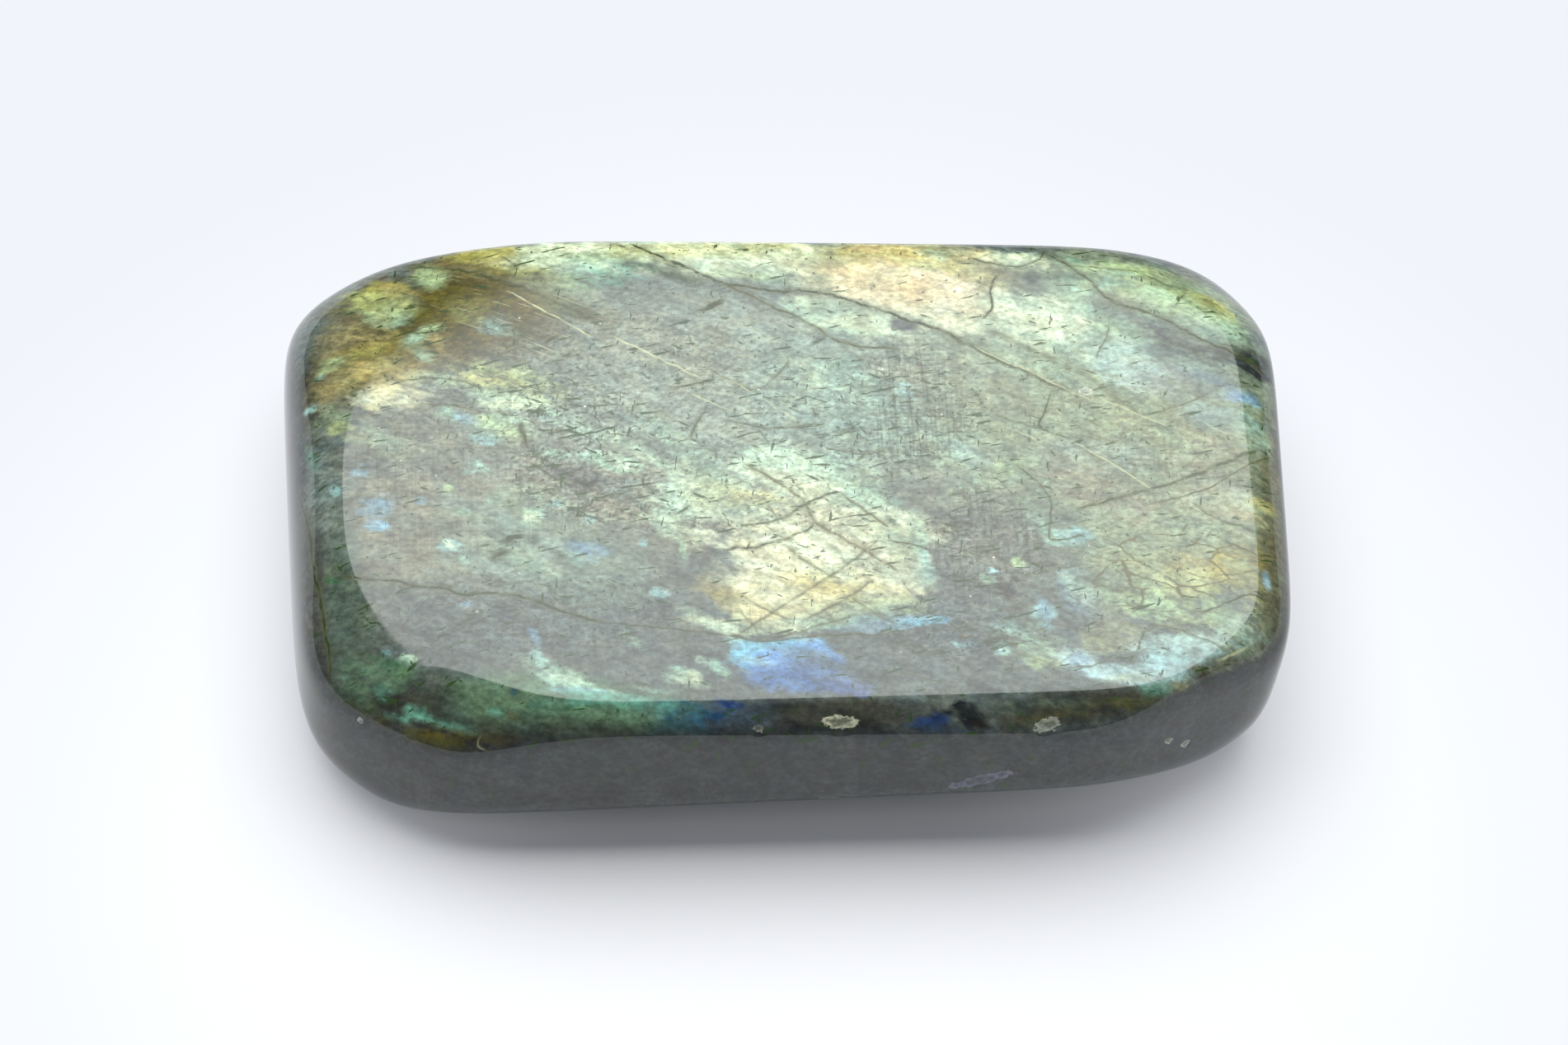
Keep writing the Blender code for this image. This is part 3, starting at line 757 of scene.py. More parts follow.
    ("cream", 0.3, -13.1, 3.1, 1.4, -13, 0.35, 1.3),
    ("white", 15.6, 19.6, 5.9, 1.9, -11, 0.6, 1.16),
    ("white", -0.1, 19.2, 4.6, 1.9, -28, 0.4, 1.16),
    ("apricot", 7.7, 17.0, 5.9, 2.0, -13, 0.5, 1.16),
    ("umber", -20.0, 15.2, 7.0, 2.2, -16, 0.45, 1.16),
    ("straw", -14.8, 16.0, 5.2, 1.8, -17, 0.4, 1.3),
    ("citron", -8.0, 20.3, 9.4, 1.4, 1, 0.35, 1.16),
    ("citron", -21.0, 21.5, 3.6, 1.6, -9, 0.7, 1.16),
    ("pearl", 14.8, 9.9, 5.3, 1.9, -15, 0.3, 1.3),
    ("pearl", 20.3, 10.6, 3.1, 1.6, -10, 0.3, 1.3),
    ("ash", 27.2, 12.2, 3.2, 1.9, -24, 0.35, 1.3),
    ("ash", 30.3, 8.3, 3.4, 1.9, -14, 0.4, 1.3),
    ("cream", 3.1, -3.7, 3.4, 2.0, -42, 0.4, 1.3),
    ("sage", 6.9, -4.6, 2.3, 1.4, -14, 0.3, 1.3),
    ("taupe", 21.9, -1.7, 6.3, 2.9, -14, 0.3, 1.3),
    ("taupe", 29.8, -0.9, 4.8, 3.4, -48, 0.3, 1.3),
    ("ash", 6.5, -13.3, 3.4, 1.5, -12, 0.3, 1.3),
    ("ash", 9.2, -9.0, 2.1, 1.8, -25, 0.3, 1.3),
    ("cream", 1.1, -10.9, 4.4, 2.1, -19, 0.35, 1.3),
    ("cream", -0.5, -13.1, 3.1, 1.2, -13, 0.3, 1.3),
    ("ash", 26.4, -8.8, 2.8, 1.7, -11, 0.25, 1.3),
    ("ice", 26.1, -16.8, 3.0, 1.1, 1, 0.4, 1.3),
    ("ash", 3.0, -16.6, 2.6, 1.5, -25, 0.35, 1.3),
    ("lime", -28.7, 16.6, 3.2, 2.1, -34, 0.45, 1.3),
    ("gold", -28.7, 13.7, 3.1, 1.9, -28, 0.35, 1.3),
    ("ice", 31.9, -13.6, 1.9, 1.3, -33, 0.3, 1.3),
    ("umber", -18.1, 13.4, 8.8, 2.3, -22, 0.35, 1.3),
    ("olive", -15.8, 15.7, 3.9, 1.5, -26, 0.35, 1.16),
    ("grape", -14.7, -0.3, 3.1, 1.1, -39, 0.45, 1.3),
    ("dim", -11.9, -1.1, 5.1, 1.7, -23, 0.4, 1.3),
    ("cream", -27.9, 6.8, 1.7, 1.2, -2, 0.35, 1.3),
    ("citron", -28.5, 11.9, 2.4, 0.9, 11, 0.5, 1.3),
    ("umber", -25.8, 11.6, 2.9, 1.1, -3, 0.5, 1.3),
    ("gold", -23.8, 12.2, 2.0, 0.7, -52, 0.3, 1.3),
    ("citron", -28.6, 17.1, 4.3, 1.9, -38, 0.5, 1.3),
    ("umber", -17.1, 15.2, 6.9, 1.7, -14, 0.4, 1.3),
    ("white", -14.8, 21.0, 4.1, 1.0, -5, 0.8, 1.01),
    ("taupe", 7.8, 17.2, 5.4, 1.9, -9, 0.25, 1.3),
    ("ash", 23.7, 14.9, 2.9, 1.5, -15, 0.3, 1.3),
    ("ash", 28.8, 10.8, 7.5, 3.7, -30, 0.28, 1.3),
    ("taupe", 25.0, -2.0, 13.0, 3.2, -6, 0.28, 1.3),
    ("straw", -28.0, 3.1, 4.4, 2.1, -31, 0.4, 1.3),
    ("cream", 3.3, -4.0, 3.3, 1.7, -31, 0.35, 1.3),
    ("ash", 6.5, -13.3, 2.8, 1.1, -11, 0.25, 1.3),
    ("ice", 26.1, -17.0, 3.0, 0.8, 1, 0.4, 1.3),
    ("black", -7.8, -20.8, 22.0, 0.4, -1, 0.4, 1.16),
    ("peat", -15.5, -20.3, 11.1, 0.5, -6, 0.45, 1.16),
    ("umber", -18.1, 15.1, 3.6, 1.1, -14, 0.4, 1.3),
    ("gold", -20.8, 8.3, 2.4, 0.7, -13, 0.3, 1.3),
    ("milk", -23.6, 8.2, 3.7, 1.0, -18, 0.35, 1.3),
    ("ochre", -28.6, 14.5, 2.3, 0.9, 6, 0.4, 1.3),
    # dark green grains that are large enough to see one by one
    ("pine", -4.4, 15.0, 1.1, 0.4, 33, 0.9, 0.72),
    ("pine", 2.9, 11.7, 1.1, 0.4, 30, 0.9, 0.72),
    ("pine", 4.8, 3.7, 1.7, 0.3, 15, 0.8, 0.87),
    ("pine", -18.7, -7.1, 1.0, 0.6, 26, 0.7, 0.87),
    ("pine", -18.1, -5.9, 1.0, 0.5, 22, 0.8, 0.72),
    ("pine", -16.7, -5.9, 0.6, 0.6, -14, 0.6, 0.87),
    ("pine", -17.6, 3.6, 1.0, 0.4, -82, 0.7, 0.87),
    ("pine", -14.8, -7.1, 1.2, 0.3, -29, 0.7, 0.87),
    ("pine", 7.8, -4.3, 0.7, 0.3, -60, 0.8, 0.72),
    ("pine", 17.4, 3.4, 1.5, 0.2, -83, 0.8, 0.72),
    ("pine", 5.8, 1.2, 0.8, 0.3, 45, 0.7, 0.72),
    ("pine", 9.0, 1.5, 0.7, 0.4, -60, 0.7, 0.72),
    ("pine", -13.4, -1.1, 1.7, 0.7, -12, 0.5, 1.3),
    ("pine", -13.2, -2.2, 1.0, 0.6, -25, 0.5, 1.3),
]
# The rag of their edges: its turn in degrees, its stretch, and each drift's seed, size and part.
GRAIN_TURN = -25
GRAIN_STRETCH = 2.0
RAG = ((11, 2.4, 0.16), (12, 1.0, 0.12), (13, 0.45, 0.10))
FLASH_SPREAD = 1.25
OVAL_POWER = 2.6
OVAL_ENDS = 0.15


def lay_patches(x, y, patches, spread):
    """Three results for each point: the patches' linear colour times the share that has a hue,
    that share, and how much the patches cover together.

    A patch covers a point by its radius r in the patch's oval, (|a|^p + |b|^p)^(1/p) for a along
    it in half lengths and b across it in half widths, p = OVAL_POWER. Each end is drawn out by
    OVAL_ENDS of the width. The edge is ragged: drift of three sizes, drawn out along the grain,
    is added to r. The patch fades by the step t * t * (3 - 2t), from all at r = 1 - soft / 2 to
    nothing at r = 1 + soft / 2. Each patch is laid over the last, and its hue reaches spread
    times as far out as its cover.
    """
    grain_x, grain_y = turned(x, y, GRAIN_TURN)
    grain_x = grain_x / GRAIN_STRETCH
    rag = 0
    for seed, size, part in RAG:
        rag = rag + part * drift(grain_x, grain_y, size, seed)
    colour = np.zeros((len(x), 3))
    held = np.zeros(len(x))
    cover = np.zeros(len(x))
    for hue, middle_x, middle_y, length, width, turn, most, soft in patches:
        along, across = turned(x - middle_x, y - middle_y, turn)
        a = np.abs(along / (length / 2 + width * OVAL_ENDS))
        b = np.abs(across / (width / 2))
        radius = (a ** OVAL_POWER + b ** OVAL_POWER) ** (1 / OVAL_POWER)
        share, hued = (
            np.clip((1 + soft / 2 - radius / wider - rag) / soft, 0, 1) for wider in (1, spread)
        )
        share = share * share * (3 - 2 * share) * most
        hued = hued * hued * (3 - 2 * hued) * most
        colour = colour * (1 - hued[:, None]) + HUES[hue] * hued[:, None]
        held = held + hued - held * hued
        cover = cover + share - cover * share
    return colour, held, cover


# Cracks, cleavage lines and seams that reach the polish, and one dark line of painted shade along the
# left ridge. Each has its tone, from -1 for a dark one to 1 for a pale yellow one, its half width
# and its route, all in millimetres.
SEAMS = [
    (-1, 0.11, [(-10.4, 21.3), (-8.1, 19.5), (-5.9, 18.3), (-3.8, 17.0), (-1.6, 16.6), (0.3, 16.2),
                (1.8, 16.3), (3.5, 16.0), (7.3, 14.5), (9.5, 13.4), (11.8, 12.5), (13.1, 11.4)]),
    (-0.7, 0.09, [(13.1, 11.4), (14.7, 10.4), (19.1, 7.8), (20.7, 7.0)]),
    (-0.9, 0.09, [(-29.8, -8.4), (-28.4, -8.9), (-26.5, -9.2), (-25.6, -9.5), (-24.4, -9.9),
                  (-22.5, -10.1), (-21.1, -10.6), (-19.4, -10.5), (-17.6, -10.7), (-16.0, -11.2),
                  (-14.8, -11.9), (-13.6, -12.3), (-11.2, -13.0)]),
    (-0.6, 0.07, [(-11.2, -13.0), (-6.6, -13.6), (-3.6, -14.0), (-0.6, -14.6), (2.5, -14.1),
                  (6.3, -14.0), (8.3, -13.9)]),
    (-0.9, 0.1, [(19.2, 20.1), (21.7, 17.7), (23.5, 15.4), (26.3, 14.2), (29.4, 12.1), (32.5, 10.5),
                 (34.1, 9.5)]),
    (-0.8, 0.12, [(20.4, -3.3), (25.2, -1.7), (29.6, 0.1), (33.3, 2.3)]),
    (-0.9, 0.09, [(15.7, 18.2), (15.1, 16.4), (15.0, 14.5), (14.3, 13.4)]),
    (-0.7, 0.08, [(13.4, 19.8), (14.7, 19.1), (17.3, 18.7), (18.7, 19.6), (18.9, 20.7)]),
    (-0.9, 0.1, [(-7.2, -3.9), (-6.3, -3.3), (-5.7, -2.7)]),
    (-0.85, 0.09, [(-2.7, -4.3), (-2.1, -4.6), (0.1, -4.2), (1.9, -2.9), (4.1, -1.7)]),
    (-0.9, 0.09, [(-3.8, -6.8), (-2.1, -6.6), (-0.7, -6.3), (1.9, -5.2), (2.8, -4.2)]),
    (-0.7, 0.09, [(-4.8, 5.9), (-5.6, 4.1), (-6.0, 2.5)]),
    (-0.6, 0.07, [(-5.0, 9.3), (-1.7, 7.3), (0.0, 8.6), (1.0, 10.1)]),
    (-0.7, 0.07, [(24.9, -13.3), (24.4, -14.6), (23.9, -15.8), (23.1, -16.7)]),
    (-0.6, 0.07, [(24.8, -13.0), (26.7, -13.5), (29.0, -14.5), (30.3, -15.1)]),
    (-0.6, 0.09, [(28.1, -2.5), (30.2, -4.1), (33.1, -5.2)]),
    (-0.9, 0.07, [(19.1, 7.3), (18.6, 5.3), (18.2, 4.1), (19.0, 3.3)]),
    (-0.7, 0.07, [(23.3, 13.3), (23.0, 12.0), (22.2, 9.8)]),
    (-0.9, 0.08, [(-7.2, 7.3), (-5.9, 7.8), (-4.2, 8.1)]),
    (-0.9, 0.09, [(3.9, 3.2), (5.0, 3.5), (5.7, 3.7)]),
    (-0.7, 0.05, [(-26.3, 8.4), (-22.6, 8.2), (-20.3, 7.3)]),
    (-0.9, 0.05, [(-24.8, 6.0), (-22.5, 5.9), (-20.9, 5.5)]),
    (-0.6, 0.07, [(14.7, 5.3), (17.3, 4.1), (19.2, 3.3), (20.6, 2.7)]),
    (-0.6, 0.17, [(-26.3, 20.8), (-22.2, 19.3), (-18.0, 16.8), (-14.8, 14.8), (-12.4, 13.4)]),
    (-0.8, 0.14, [(-19.8, 20.7), (-19.0, 19.8), (-18.1, 18.8)]),
    # Painted shade: no crack, but a dark line along the ridge where the left slope turns down into the
    # left wall.
    (-0.95, 0.08, [(-33.3, 1.3), (-32.3, -2.7), (-31.5, -7.1), (-30.4, -12.8), (-30.2, -15.4)]),
    (-0.7, 0.06, [(-4.1, 4.7), (-0.1, 3.8), (2.4, 4.2), (3.5, 4.3)]),
    (-0.8, 0.08, [(28.5, -12.3), (30.5, -11.2), (32.2, -10.5), (33.3, -11.2)]),
    (-0.7, 0.06, [(30.2, -5.9), (32.7, -7.0), (34.2, -6.9)]),
    (-0.5, 0.09, [(29.5, -9.1), (31.2, -8.8), (32.9, -8.2)]),
    (-0.7, 0.07, [(16.4, 0.7), (18.1, -1.3), (18.8, -2.9), (18.5, -5.6), (19.1, -5.9), (21.2, -5.6)]),
    (-0.8, 0.05, [(7.2, -5.9), (10.0, -6.6), (10.8, -7.2)]),
    (-0.7, 0.05, [(3.3, 2.2), (5.6, 1.5), (7.8, 1.9)]),
    (-0.7, 0.06, [(-17.1, 0.9), (-15.7, -0.2), (-14.2, -1.3)]),
    (-0.5, 0.07, [(21.4, -19.0), (24.1, -19.0), (26.7, -18.6)]),
    (-0.7, 0.05, [(23.4, -17.0), (24.2, -15.2)]),
    (-1, 0.17, [(-5.6, 14.2), (-4.9, 14.7), (-4.3, 15.1), (-3.6, 15.4)]),
    (-1, 0.15, [(-19.7, -7.7), (-19.1, -7.4), (-18.6, -7.1), (-17.9, -6.8)]),
    (-1, 0.16, [(-19.0, -6.3), (-18.3, -5.9), (-17.7, -5.7), (-17.0, -5.6)]),
    (-0.9, 0.14, [(-17.8, 4.7), (-17.6, 3.8), (-17.4, 2.8), (-17.2, 2.0)]),
    (-0.9, 0.13, [(-19.5, 5.4), (-18.8, 5.0), (-18.4, 4.4)]),
    (-0.95, 0.12, [(-15.3, 10.0), (-14.7, 10.4), (-14.1, 10.9)]),
    (-0.9, 0.1, [(-16.5, 11.2), (-15.8, 11.8), (-15.1, 12.4)]),
]
# Seams that cross those above, and then the pale streaks with the lines that cross them. A point
# of the mesh holds only the nearest seam of a list, so each of the three is a field of its own.
CROSSING_SEAMS = [
    (-0.8, 0.09, [(-3.8, 17.0), (-0.8, 15.1), (2.2, 13.3), (4.1, 11.8), (5.7, 11.2), (8.6, 11.0)]),
    (-0.55, 0.09, [(-2.7, -14.1), (-0.3, -12.2), (3.0, -9.5), (5.3, -7.6), (7.1, -5.6)]),
    (-0.6, 0.09, [(1.6, -13.0), (4.8, -10.9), (6.9, -9.1)]),
    (-0.6, 0.09, [(-0.7, -14.6), (2.2, -13.5), (5.4, -12.3)]),
    (-0.4, 0.21, [(12.0, 12.2), (16.0, 9.7), (20.7, 7.0)]),
    (-0.45, 0.21, [(14.7, 12.8), (21.4, 8.6), (23.8, 6.3), (25.6, 5.3)]),
    (0.4, 0.06, [(28.3, 5.1), (30.6, 3.7), (33.5, 2.4)]),
    (-0.6, 0.07, [(24.8, 4.7), (28.3, 6.0), (30.6, 7.4)]),
    (-0.8, 0.05, [(25.2, -2.9), (29.8, -1.3), (34.3, 2.3)]),
    (-0.6, 0.06, [(20.3, 18.8), (23.2, 18.5), (25.5, 18.3), (27.8, 17.0)]),
    (-0.6, 0.07, [(28.0, 14.9), (28.9, 16.9)]),
    (-0.7, 0.05, [(-27.0, -19.0), (-26.6, -18.9), (-26.4, -18.6)]),
    (-0.5, 0.05, [(-30.3, -16.1), (-28.4, -17.2), (-27.0, -18.5), (-26.7, -19.1), (-27.3, -19.1)]),
    (-0.5, 0.06, [(-28.1, -18.7), (-26.2, -19.3), (-24.5, -19.6), (-21.1, -20.8)]),
    (-0.6, 0.07, [(26.2, -18.9), (28.2, -17.7), (31.1, -16.0)]),
    (0.48, 0.05, [(-19.7, -20.5), (-20.0, -20.9), (-19.1, -21.3)]),
    (0.56, 0.05, [(-26.5, -19.5), (-24.5, -20.3), (-23.6, -20.4)]),
    (0.48, 0.05, [(-24.5, -20.4), (-24.0, -20.4)]),
    (-0.5, 0.07, [(16.9, -9.1), (18.9, -8.4), (20.6, -8.1)]),
    (-0.6, 0.05, [(19.2, -16.9), (21.4, -16.5), (22.3, -16.1)]),
    (-0.6, 0.05, [(7.9, -17.1), (10.4, -17.7), (12.0, -18.7)]),
    (-0.5, 0.05, [(7.8, 0.9), (8.0, -2.0)]),
]
STREAKS = [
    (0.9, 0.07, [(-19.2, 16.7), (-16.9, 14.9), (-12.7, 11.8)]),
    (0.9, 0.07, [(-11.7, 12.2), (-8.2, 10.1), (-5.2, 8.1)]),
    (0.7, 0.06, [(-4.0, 8.5), (-1.6, 7.0)]),
    (0.7, 0.06, [(-6.3, 7.1), (-3.1, 5.3)]),
    (0.6, 0.06, [(-1.2, 6.7), (1.5, 4.3)]),
    (0.7, 0.06, [(20.1, 2.7), (22.0, 1.5), (25.7, -1.5)]),
    (0.6, 0.06, [(16.4, 3.8), (18.2, 2.6)]),
    (0.6, 0.06, [(13.7, 11.2), (20.5, 7.1)]),
    (0.5, 0.06, [(16.5, 9.7), (22.2, 6.0)]),
    (0.6, 0.06, [(22.2, 6.7), (27.2, 3.8)]),
    (0.7, 0.07, [(29.4, -15.7), (30.9, -14.8), (31.8, -14.1)]),
    (0.9, 0.07, [(30.0, -15.8), (31.1, -15.6)]),
    (-0.75, 0.11, [(-2.3, 0.9), (1.5, -2.1), (2.8, -4.5), (5.6, -6.6), (8.6, -8.9)]),
    (-0.6, 0.09, [(-2.6, -10.5), (-0.6, -12.0), (1.3, -12.8)]),
    (-0.55, 0.08, [(-2.6, -11.6), (-1.5, -13.5), (-0.9, -14.6)]),
    (-0.6, 0.09, [(4.8, -10.5), (6.3, -12.0), (8.2, -13.3)]),
    (-0.75, 0.1, [(4.1, -1.7), (5.9, -3.3), (7.7, -4.9)]),
    (-0.65, 0.1, [(0.4, -6.3), (2.7, -8.4), (4.4, -9.3)]),
    (-0.4, 0.06, [(8.3, -9.1), (9.4, -10.9)]),
    (-0.5, 0.06, [(-1.0, -2.0), (0.4, -4.9)]),
]
SEAM_REACH = 0.9
SEAM_TAPER = 0.7
SEAM_STEPS = 8
SEAM_SWAY = 0.10


def smooth_route(points):
    """A curve through the points: Catmull-Rom, with SEAM_STEPS steps a span. A span from b to c,
    with a before it and d after it, runs over t from 0 to 1 as half of 2b + (c - a)t +
    (2a - 5b + 4c - d)t^2 + (3b - a - 3c + d)t^3. Drift bends the curve by up to SEAM_SWAY."""
    first = 2 * np.array(points[0]) - points[1]
    last = 2 * np.array(points[-1]) - points[-2]
    p = np.vstack([first, points, last])
    t = np.linspace(0, 1, SEAM_STEPS, endpoint=False)[None, :, None]
    a, b, c, d = p[:-3, None], p[1:-2, None], p[2:-1, None], p[3:, None]
    spans = 0.5 * (2 * b + (c - a) * t + (2 * a - 5 * b + 4 * c - d) * t ** 2
                   + (3 * b - a - 3 * c + d) * t ** 3)
    route = np.vstack([spans.reshape(-1, 2), p[-2]])
    sideways = drift(route[:, 0], route[:, 1], 0.9, seed=21)
    backwards = drift(route[:, 0], route[:, 1], 0.7, seed=22)
    return route + SEAM_SWAY * np.stack([sideways, backwards], axis=1)


def seam_field(x, y, seams):
    """Three values a point: its side and distance to the nearest seam in half widths, how much
    of a seam is there, and that seam's tone.

    The distance is signed, left of the seam's direction above 0, so that it passes through 0 on
    the seam itself between any two points of the mesh. A seam fades over the last third of
    SEAM_REACH, to nothing that far from its line, and over SEAM_TAPER at its ends.
    """
    field = np.zeros((len(x), 3))
    best = np.full(len(x), SEAM_REACH)
    for tone, half_width, points in seams:
        route = smooth_route(points)
        low, high = route.min(axis=0) - SEAM_REACH, route.max(axis=0) + SEAM_REACH
        near = np.nonzero((x > low[0]) & (x < high[0]) & (y > low[1]) & (y < high[1]))[0]
        step = np.diff(route, axis=0)
        length = np.hypot(step[:, 0], step[:, 1])
        start = np.concatenate([[0], np.cumsum(length)])
        away = np.stack([x[near], y[near]], axis=1)[:, None] - route[:-1][None]
        share = np.clip((away * step).sum(axis=2) / length ** 2, 0, 1)
        gap = away - share[:, :, None] * step
        distance = np.hypot(gap[:, :, 0], gap[:, :, 1])
        closest = distance.argmin(axis=1)
        row = np.arange(len(near))
        nearest = distance[row, closest]
        turned = step[closest, 0] * away[row, closest, 1] - step[closest, 1] * away[row, closest, 0]
        travelled = start[closest] + share[row, closest] * length[closest]
        ends = np.clip(np.minimum(travelled, start[-1] - travelled) / SEAM_TAPER, 0, 1)
        closer = nearest < best[near]
        chosen = near[closer]
        fade = np.clip(3 - 3 * nearest / SEAM_REACH, 0, 1) * ends
        side = np.sign(turned) * nearest / half_width
        values = np.stack([side, fade, np.full(len(near), tone)], axis=1)
        field[chosen] = values[closer]
        best[chosen] = nearest[closer]
    return field


# Where the finer markings lie. Columns: middle, length, width, turn, share of the marking.
SPECKED = [
    (-7.0, 4.0, 40, 22, -20, 0.6), (-13.0, -1.0, 14, 8, -20, 1.0), (8.0, 5.0, 16, 14, 0, 0.7),
    (14.5, -6.0, 9, 12, 0, 0.8), (-20.0, 12.0, 14, 7, -25, 0.6), (-23.0, 2.0, 14, 10, 0, 0.4),
    (12.0, -13.5, 12, 6, 0, 0.7), (-16.0, -12.0, 24, 8, 0, 0.5), (4.0, -7.0, 14, 10, 0, 0.3),
    (22.0, -2.0, 20, 26, 0, 0.35), (-14.0, 5.5, 13, 7, -15, 1.0), (0.0, 14.0, 50, 9, -6, 0.15),
]
CROSSHATCHED = [
    (9.5, 6.0, 9, 13, 0, 1.0), (14.0, -6.0, 9, 12, 0, 0.7), (-20.0, -1.0, 22, 16, 0, 0.5),
    (27.0, 2.0, 12, 6, -25, 0.5), (-10.0, -14.0, 30, 6, 0, 0.4),
]
SCALED = [
    (26.5, -8.5, 12.5, 10, 0, 1.0), (24.0, 3.0, 14, 8, -30, 0.5), (4.0, -8.0, 11, 9, 0, 0.4),
    (18.0, -14.0, 12, 6, -20, 0.5),
]
NEEDLED = [
    (-12.0, 10.0, 24, 14, -20, 1.0), (-23.0, 16.0, 16, 8, -25, 0.8), (2.0, 7.0, 20, 12, -20, 0.5),
    (24.0, 3.0, 16, 8, -25, 0.6),
]


def soft_ovals(x, y, ovals):
    """The largest share at each point. An oval gives its share times 2 (1 - r^2), but no more
    than its share, for r the point's radius in it."""
    shares = np.zeros(len(x))
    for middle_x, middle_y, length, width, turn, share in ovals:
        along, across = turned(x - middle_x, y - middle_y, turn)
        inside = np.clip(1 - (2 * along / length) ** 2 - (2 * across / width) ** 2, 0, 1)
        shares = np.maximum(shares, share * np.minimum(1, 2 * inside))
    return shares


def give_attribute(mesh, name, kind, values):
    """Writes one value, vector or colour for each point of the mesh."""
    attribute = mesh.attributes.new(name, kind, "POINT")
    field = {"FLOAT": "value", "FLOAT_VECTOR": "vector", "FLOAT_COLOR": "color"}[kind]
    attribute.data.foreach_set(field, np.ascontiguousarray(values, dtype=np.float32).ravel())


def laid_along(tree, turn, cell):
    """The place on the stone, counted in cells of that length, width and height in millimetres.

    The cells' length lies at that turn in degrees from the stone's own.
    """
    return node(tree, "ShaderNodeMapping", {
        "Vector": node(tree, "ShaderNodeTexCoord").outputs["Object"],
        "Rotation": (0, 0, math.radians(turn)),
        "Scale": [side * MM for side in cell],
    }, vector_type="TEXTURE")


def wavering(tree, turn, cell, wave, reach):
    """Cells like those above, moved about by up to reach of a cell, smoothly over each wave."""
    noise = node(tree, "ShaderNodeTexNoise", {
        "Vector": laid_along(tree, turn, (wave, wave, wave)), "Scale": 1.0, "Detail": 3.0,
    })
    return node(tree, "ShaderNodeVectorMath", {
        0: noise.outputs["Color"], 1: (reach, reach, reach), 2: laid_along(tree, turn, cell),
    }, operation="MULTIPLY_ADD")


def mottling(tree, turn, cell, detail, used, shown):
    """Fractal noise of that cell, turned by turn degrees. The part of it between the two used
    values is drawn out by the step t * t * (3 - 2t) to the two shown ones."""
    noise = node(tree, "ShaderNodeTexNoise", {
        "Vector": laid_along(tree, turn, cell), "Scale": 1.0, "Detail": detail, "Roughness": 0.62,
    })
    return node(tree, "ShaderNodeMapRange", {
        "Value": noise, "From Min": used[0], "From Max": used[1],
        "To Min": shown[0], "To Max": shown[1],
    }, interpolation_type="SMOOTHSTEP")


def dashes(tree, turn, cell, density, rarity):
    """1 on short marks with jagged ends, which lie at that turn and are about a third of the cell
    in size. Noise above the rarity makes a mark. Up to 0.088 less of it is enough in clumps 2 mm
    across, in step with the density."""
    noise = node(tree, "ShaderNodeTexNoise", {
        "Vector": laid_along(tree, turn, cell), "Scale": 1.0, "Detail": 2.5, "Roughness": 0.55,
    })
    clump = mottling(tree, turn, (2.6, 1.9, 2), 3.0, (0.44, 0.60), (0.0, 0.088))
    lift = node(tree, "ShaderNodeMath", {0: clump, 1: density, 2: noise}, operation="MULTIPLY_ADD")
    return node(tree, "ShaderNodeMapRange", {
        "Value": lift, "From Min": rarity, "From Max": rarity + 0.03, "To Min": 0.0, "To Max": 0.92,
    }, interpolation_type="SMOOTHSTEP")


def grains(tree, place, radius, part):
    """1 within radius of a grain's seed, 0 from 1.7 radius on. That part of the cells has one."""
    cells = node(tree, "ShaderNodeTexVoronoi", {"Vector": place, "Scale": 1.0}, voronoi_dimensions="2D")
    chance = node(tree, "ShaderNodeSeparateColor", {0: cells.outputs["Color"]})
    present = node(tree, "ShaderNodeMath", {0: chance, 1: part}, operation="LESS_THAN")
    dot = node(tree, "ShaderNodeMapRange", {
        "Value": cells.outputs["Distance"], "From Min": radius, "From Max": radius * 1.7,
        "To Min": 1.0, "To Max": 0.0,
    }, interpolation_type="SMOOTHSTEP")
    return node(tree, "ShaderNodeMath", {0: dot, 1: present}, operation="MULTIPLY")


def net(tree, place, half_width):
    """1 on the lines halfway between the seeds of the place's cells, 0 from half_width on."""
    cells = node(tree, "ShaderNodeTexVoronoi", {"Vector": place, "Scale": 1.0},
                 voronoi_dimensions="2D", feature="DISTANCE_TO_EDGE")
    return node(tree, "ShaderNodeMapRange", {
        "Value": cells, "From Min": half_width * 0.3, "From Max": half_width,
        "To Min": 1.0, "To Max": 0.0,
    }, interpolation_type="SMOOTHSTEP")


def cleavage_blocks(tree, first_turn, second_turn, sides):
    """Brightness of the blocks between two cleavages, near 1 and the same all over a block.

    The place is measured across each of the two cleavages, in the block's sides. In that skewed
    frame the blocks are the cells of a Voronoi pattern whose distance is the larger of the two.
    """
    measured = []
    for turn, side in ((first_turn, sides[0]), (second_turn, sides[1])):
        lean = math.radians(turn)
        across = (-math.sin(lean) / side, math.cos(lean) / side, 0.0)
        measured.append(node(tree, "ShaderNodeVectorMath", {
            0: laid_along(tree, 0, (1, 1, 1)), 1: across,
        }, operation="DOT_PRODUCT"))
    skewed = node(tree, "ShaderNodeCombineXYZ", {0: measured[0], 1: measured[1]})
    cells = node(tree, "ShaderNodeTexVoronoi", {"Vector": skewed, "Scale": 1.0, "Randomness": 0.7},
                 voronoi_dimensions="2D", distance="CHEBYCHEV")
    chance = node(tree, "ShaderNodeSeparateColor", {0: cells.outputs["Color"]})
    return node(tree, "ShaderNodeMapRange", {"Value": chance, "To Min": 0.88, "To Max": 1.10})


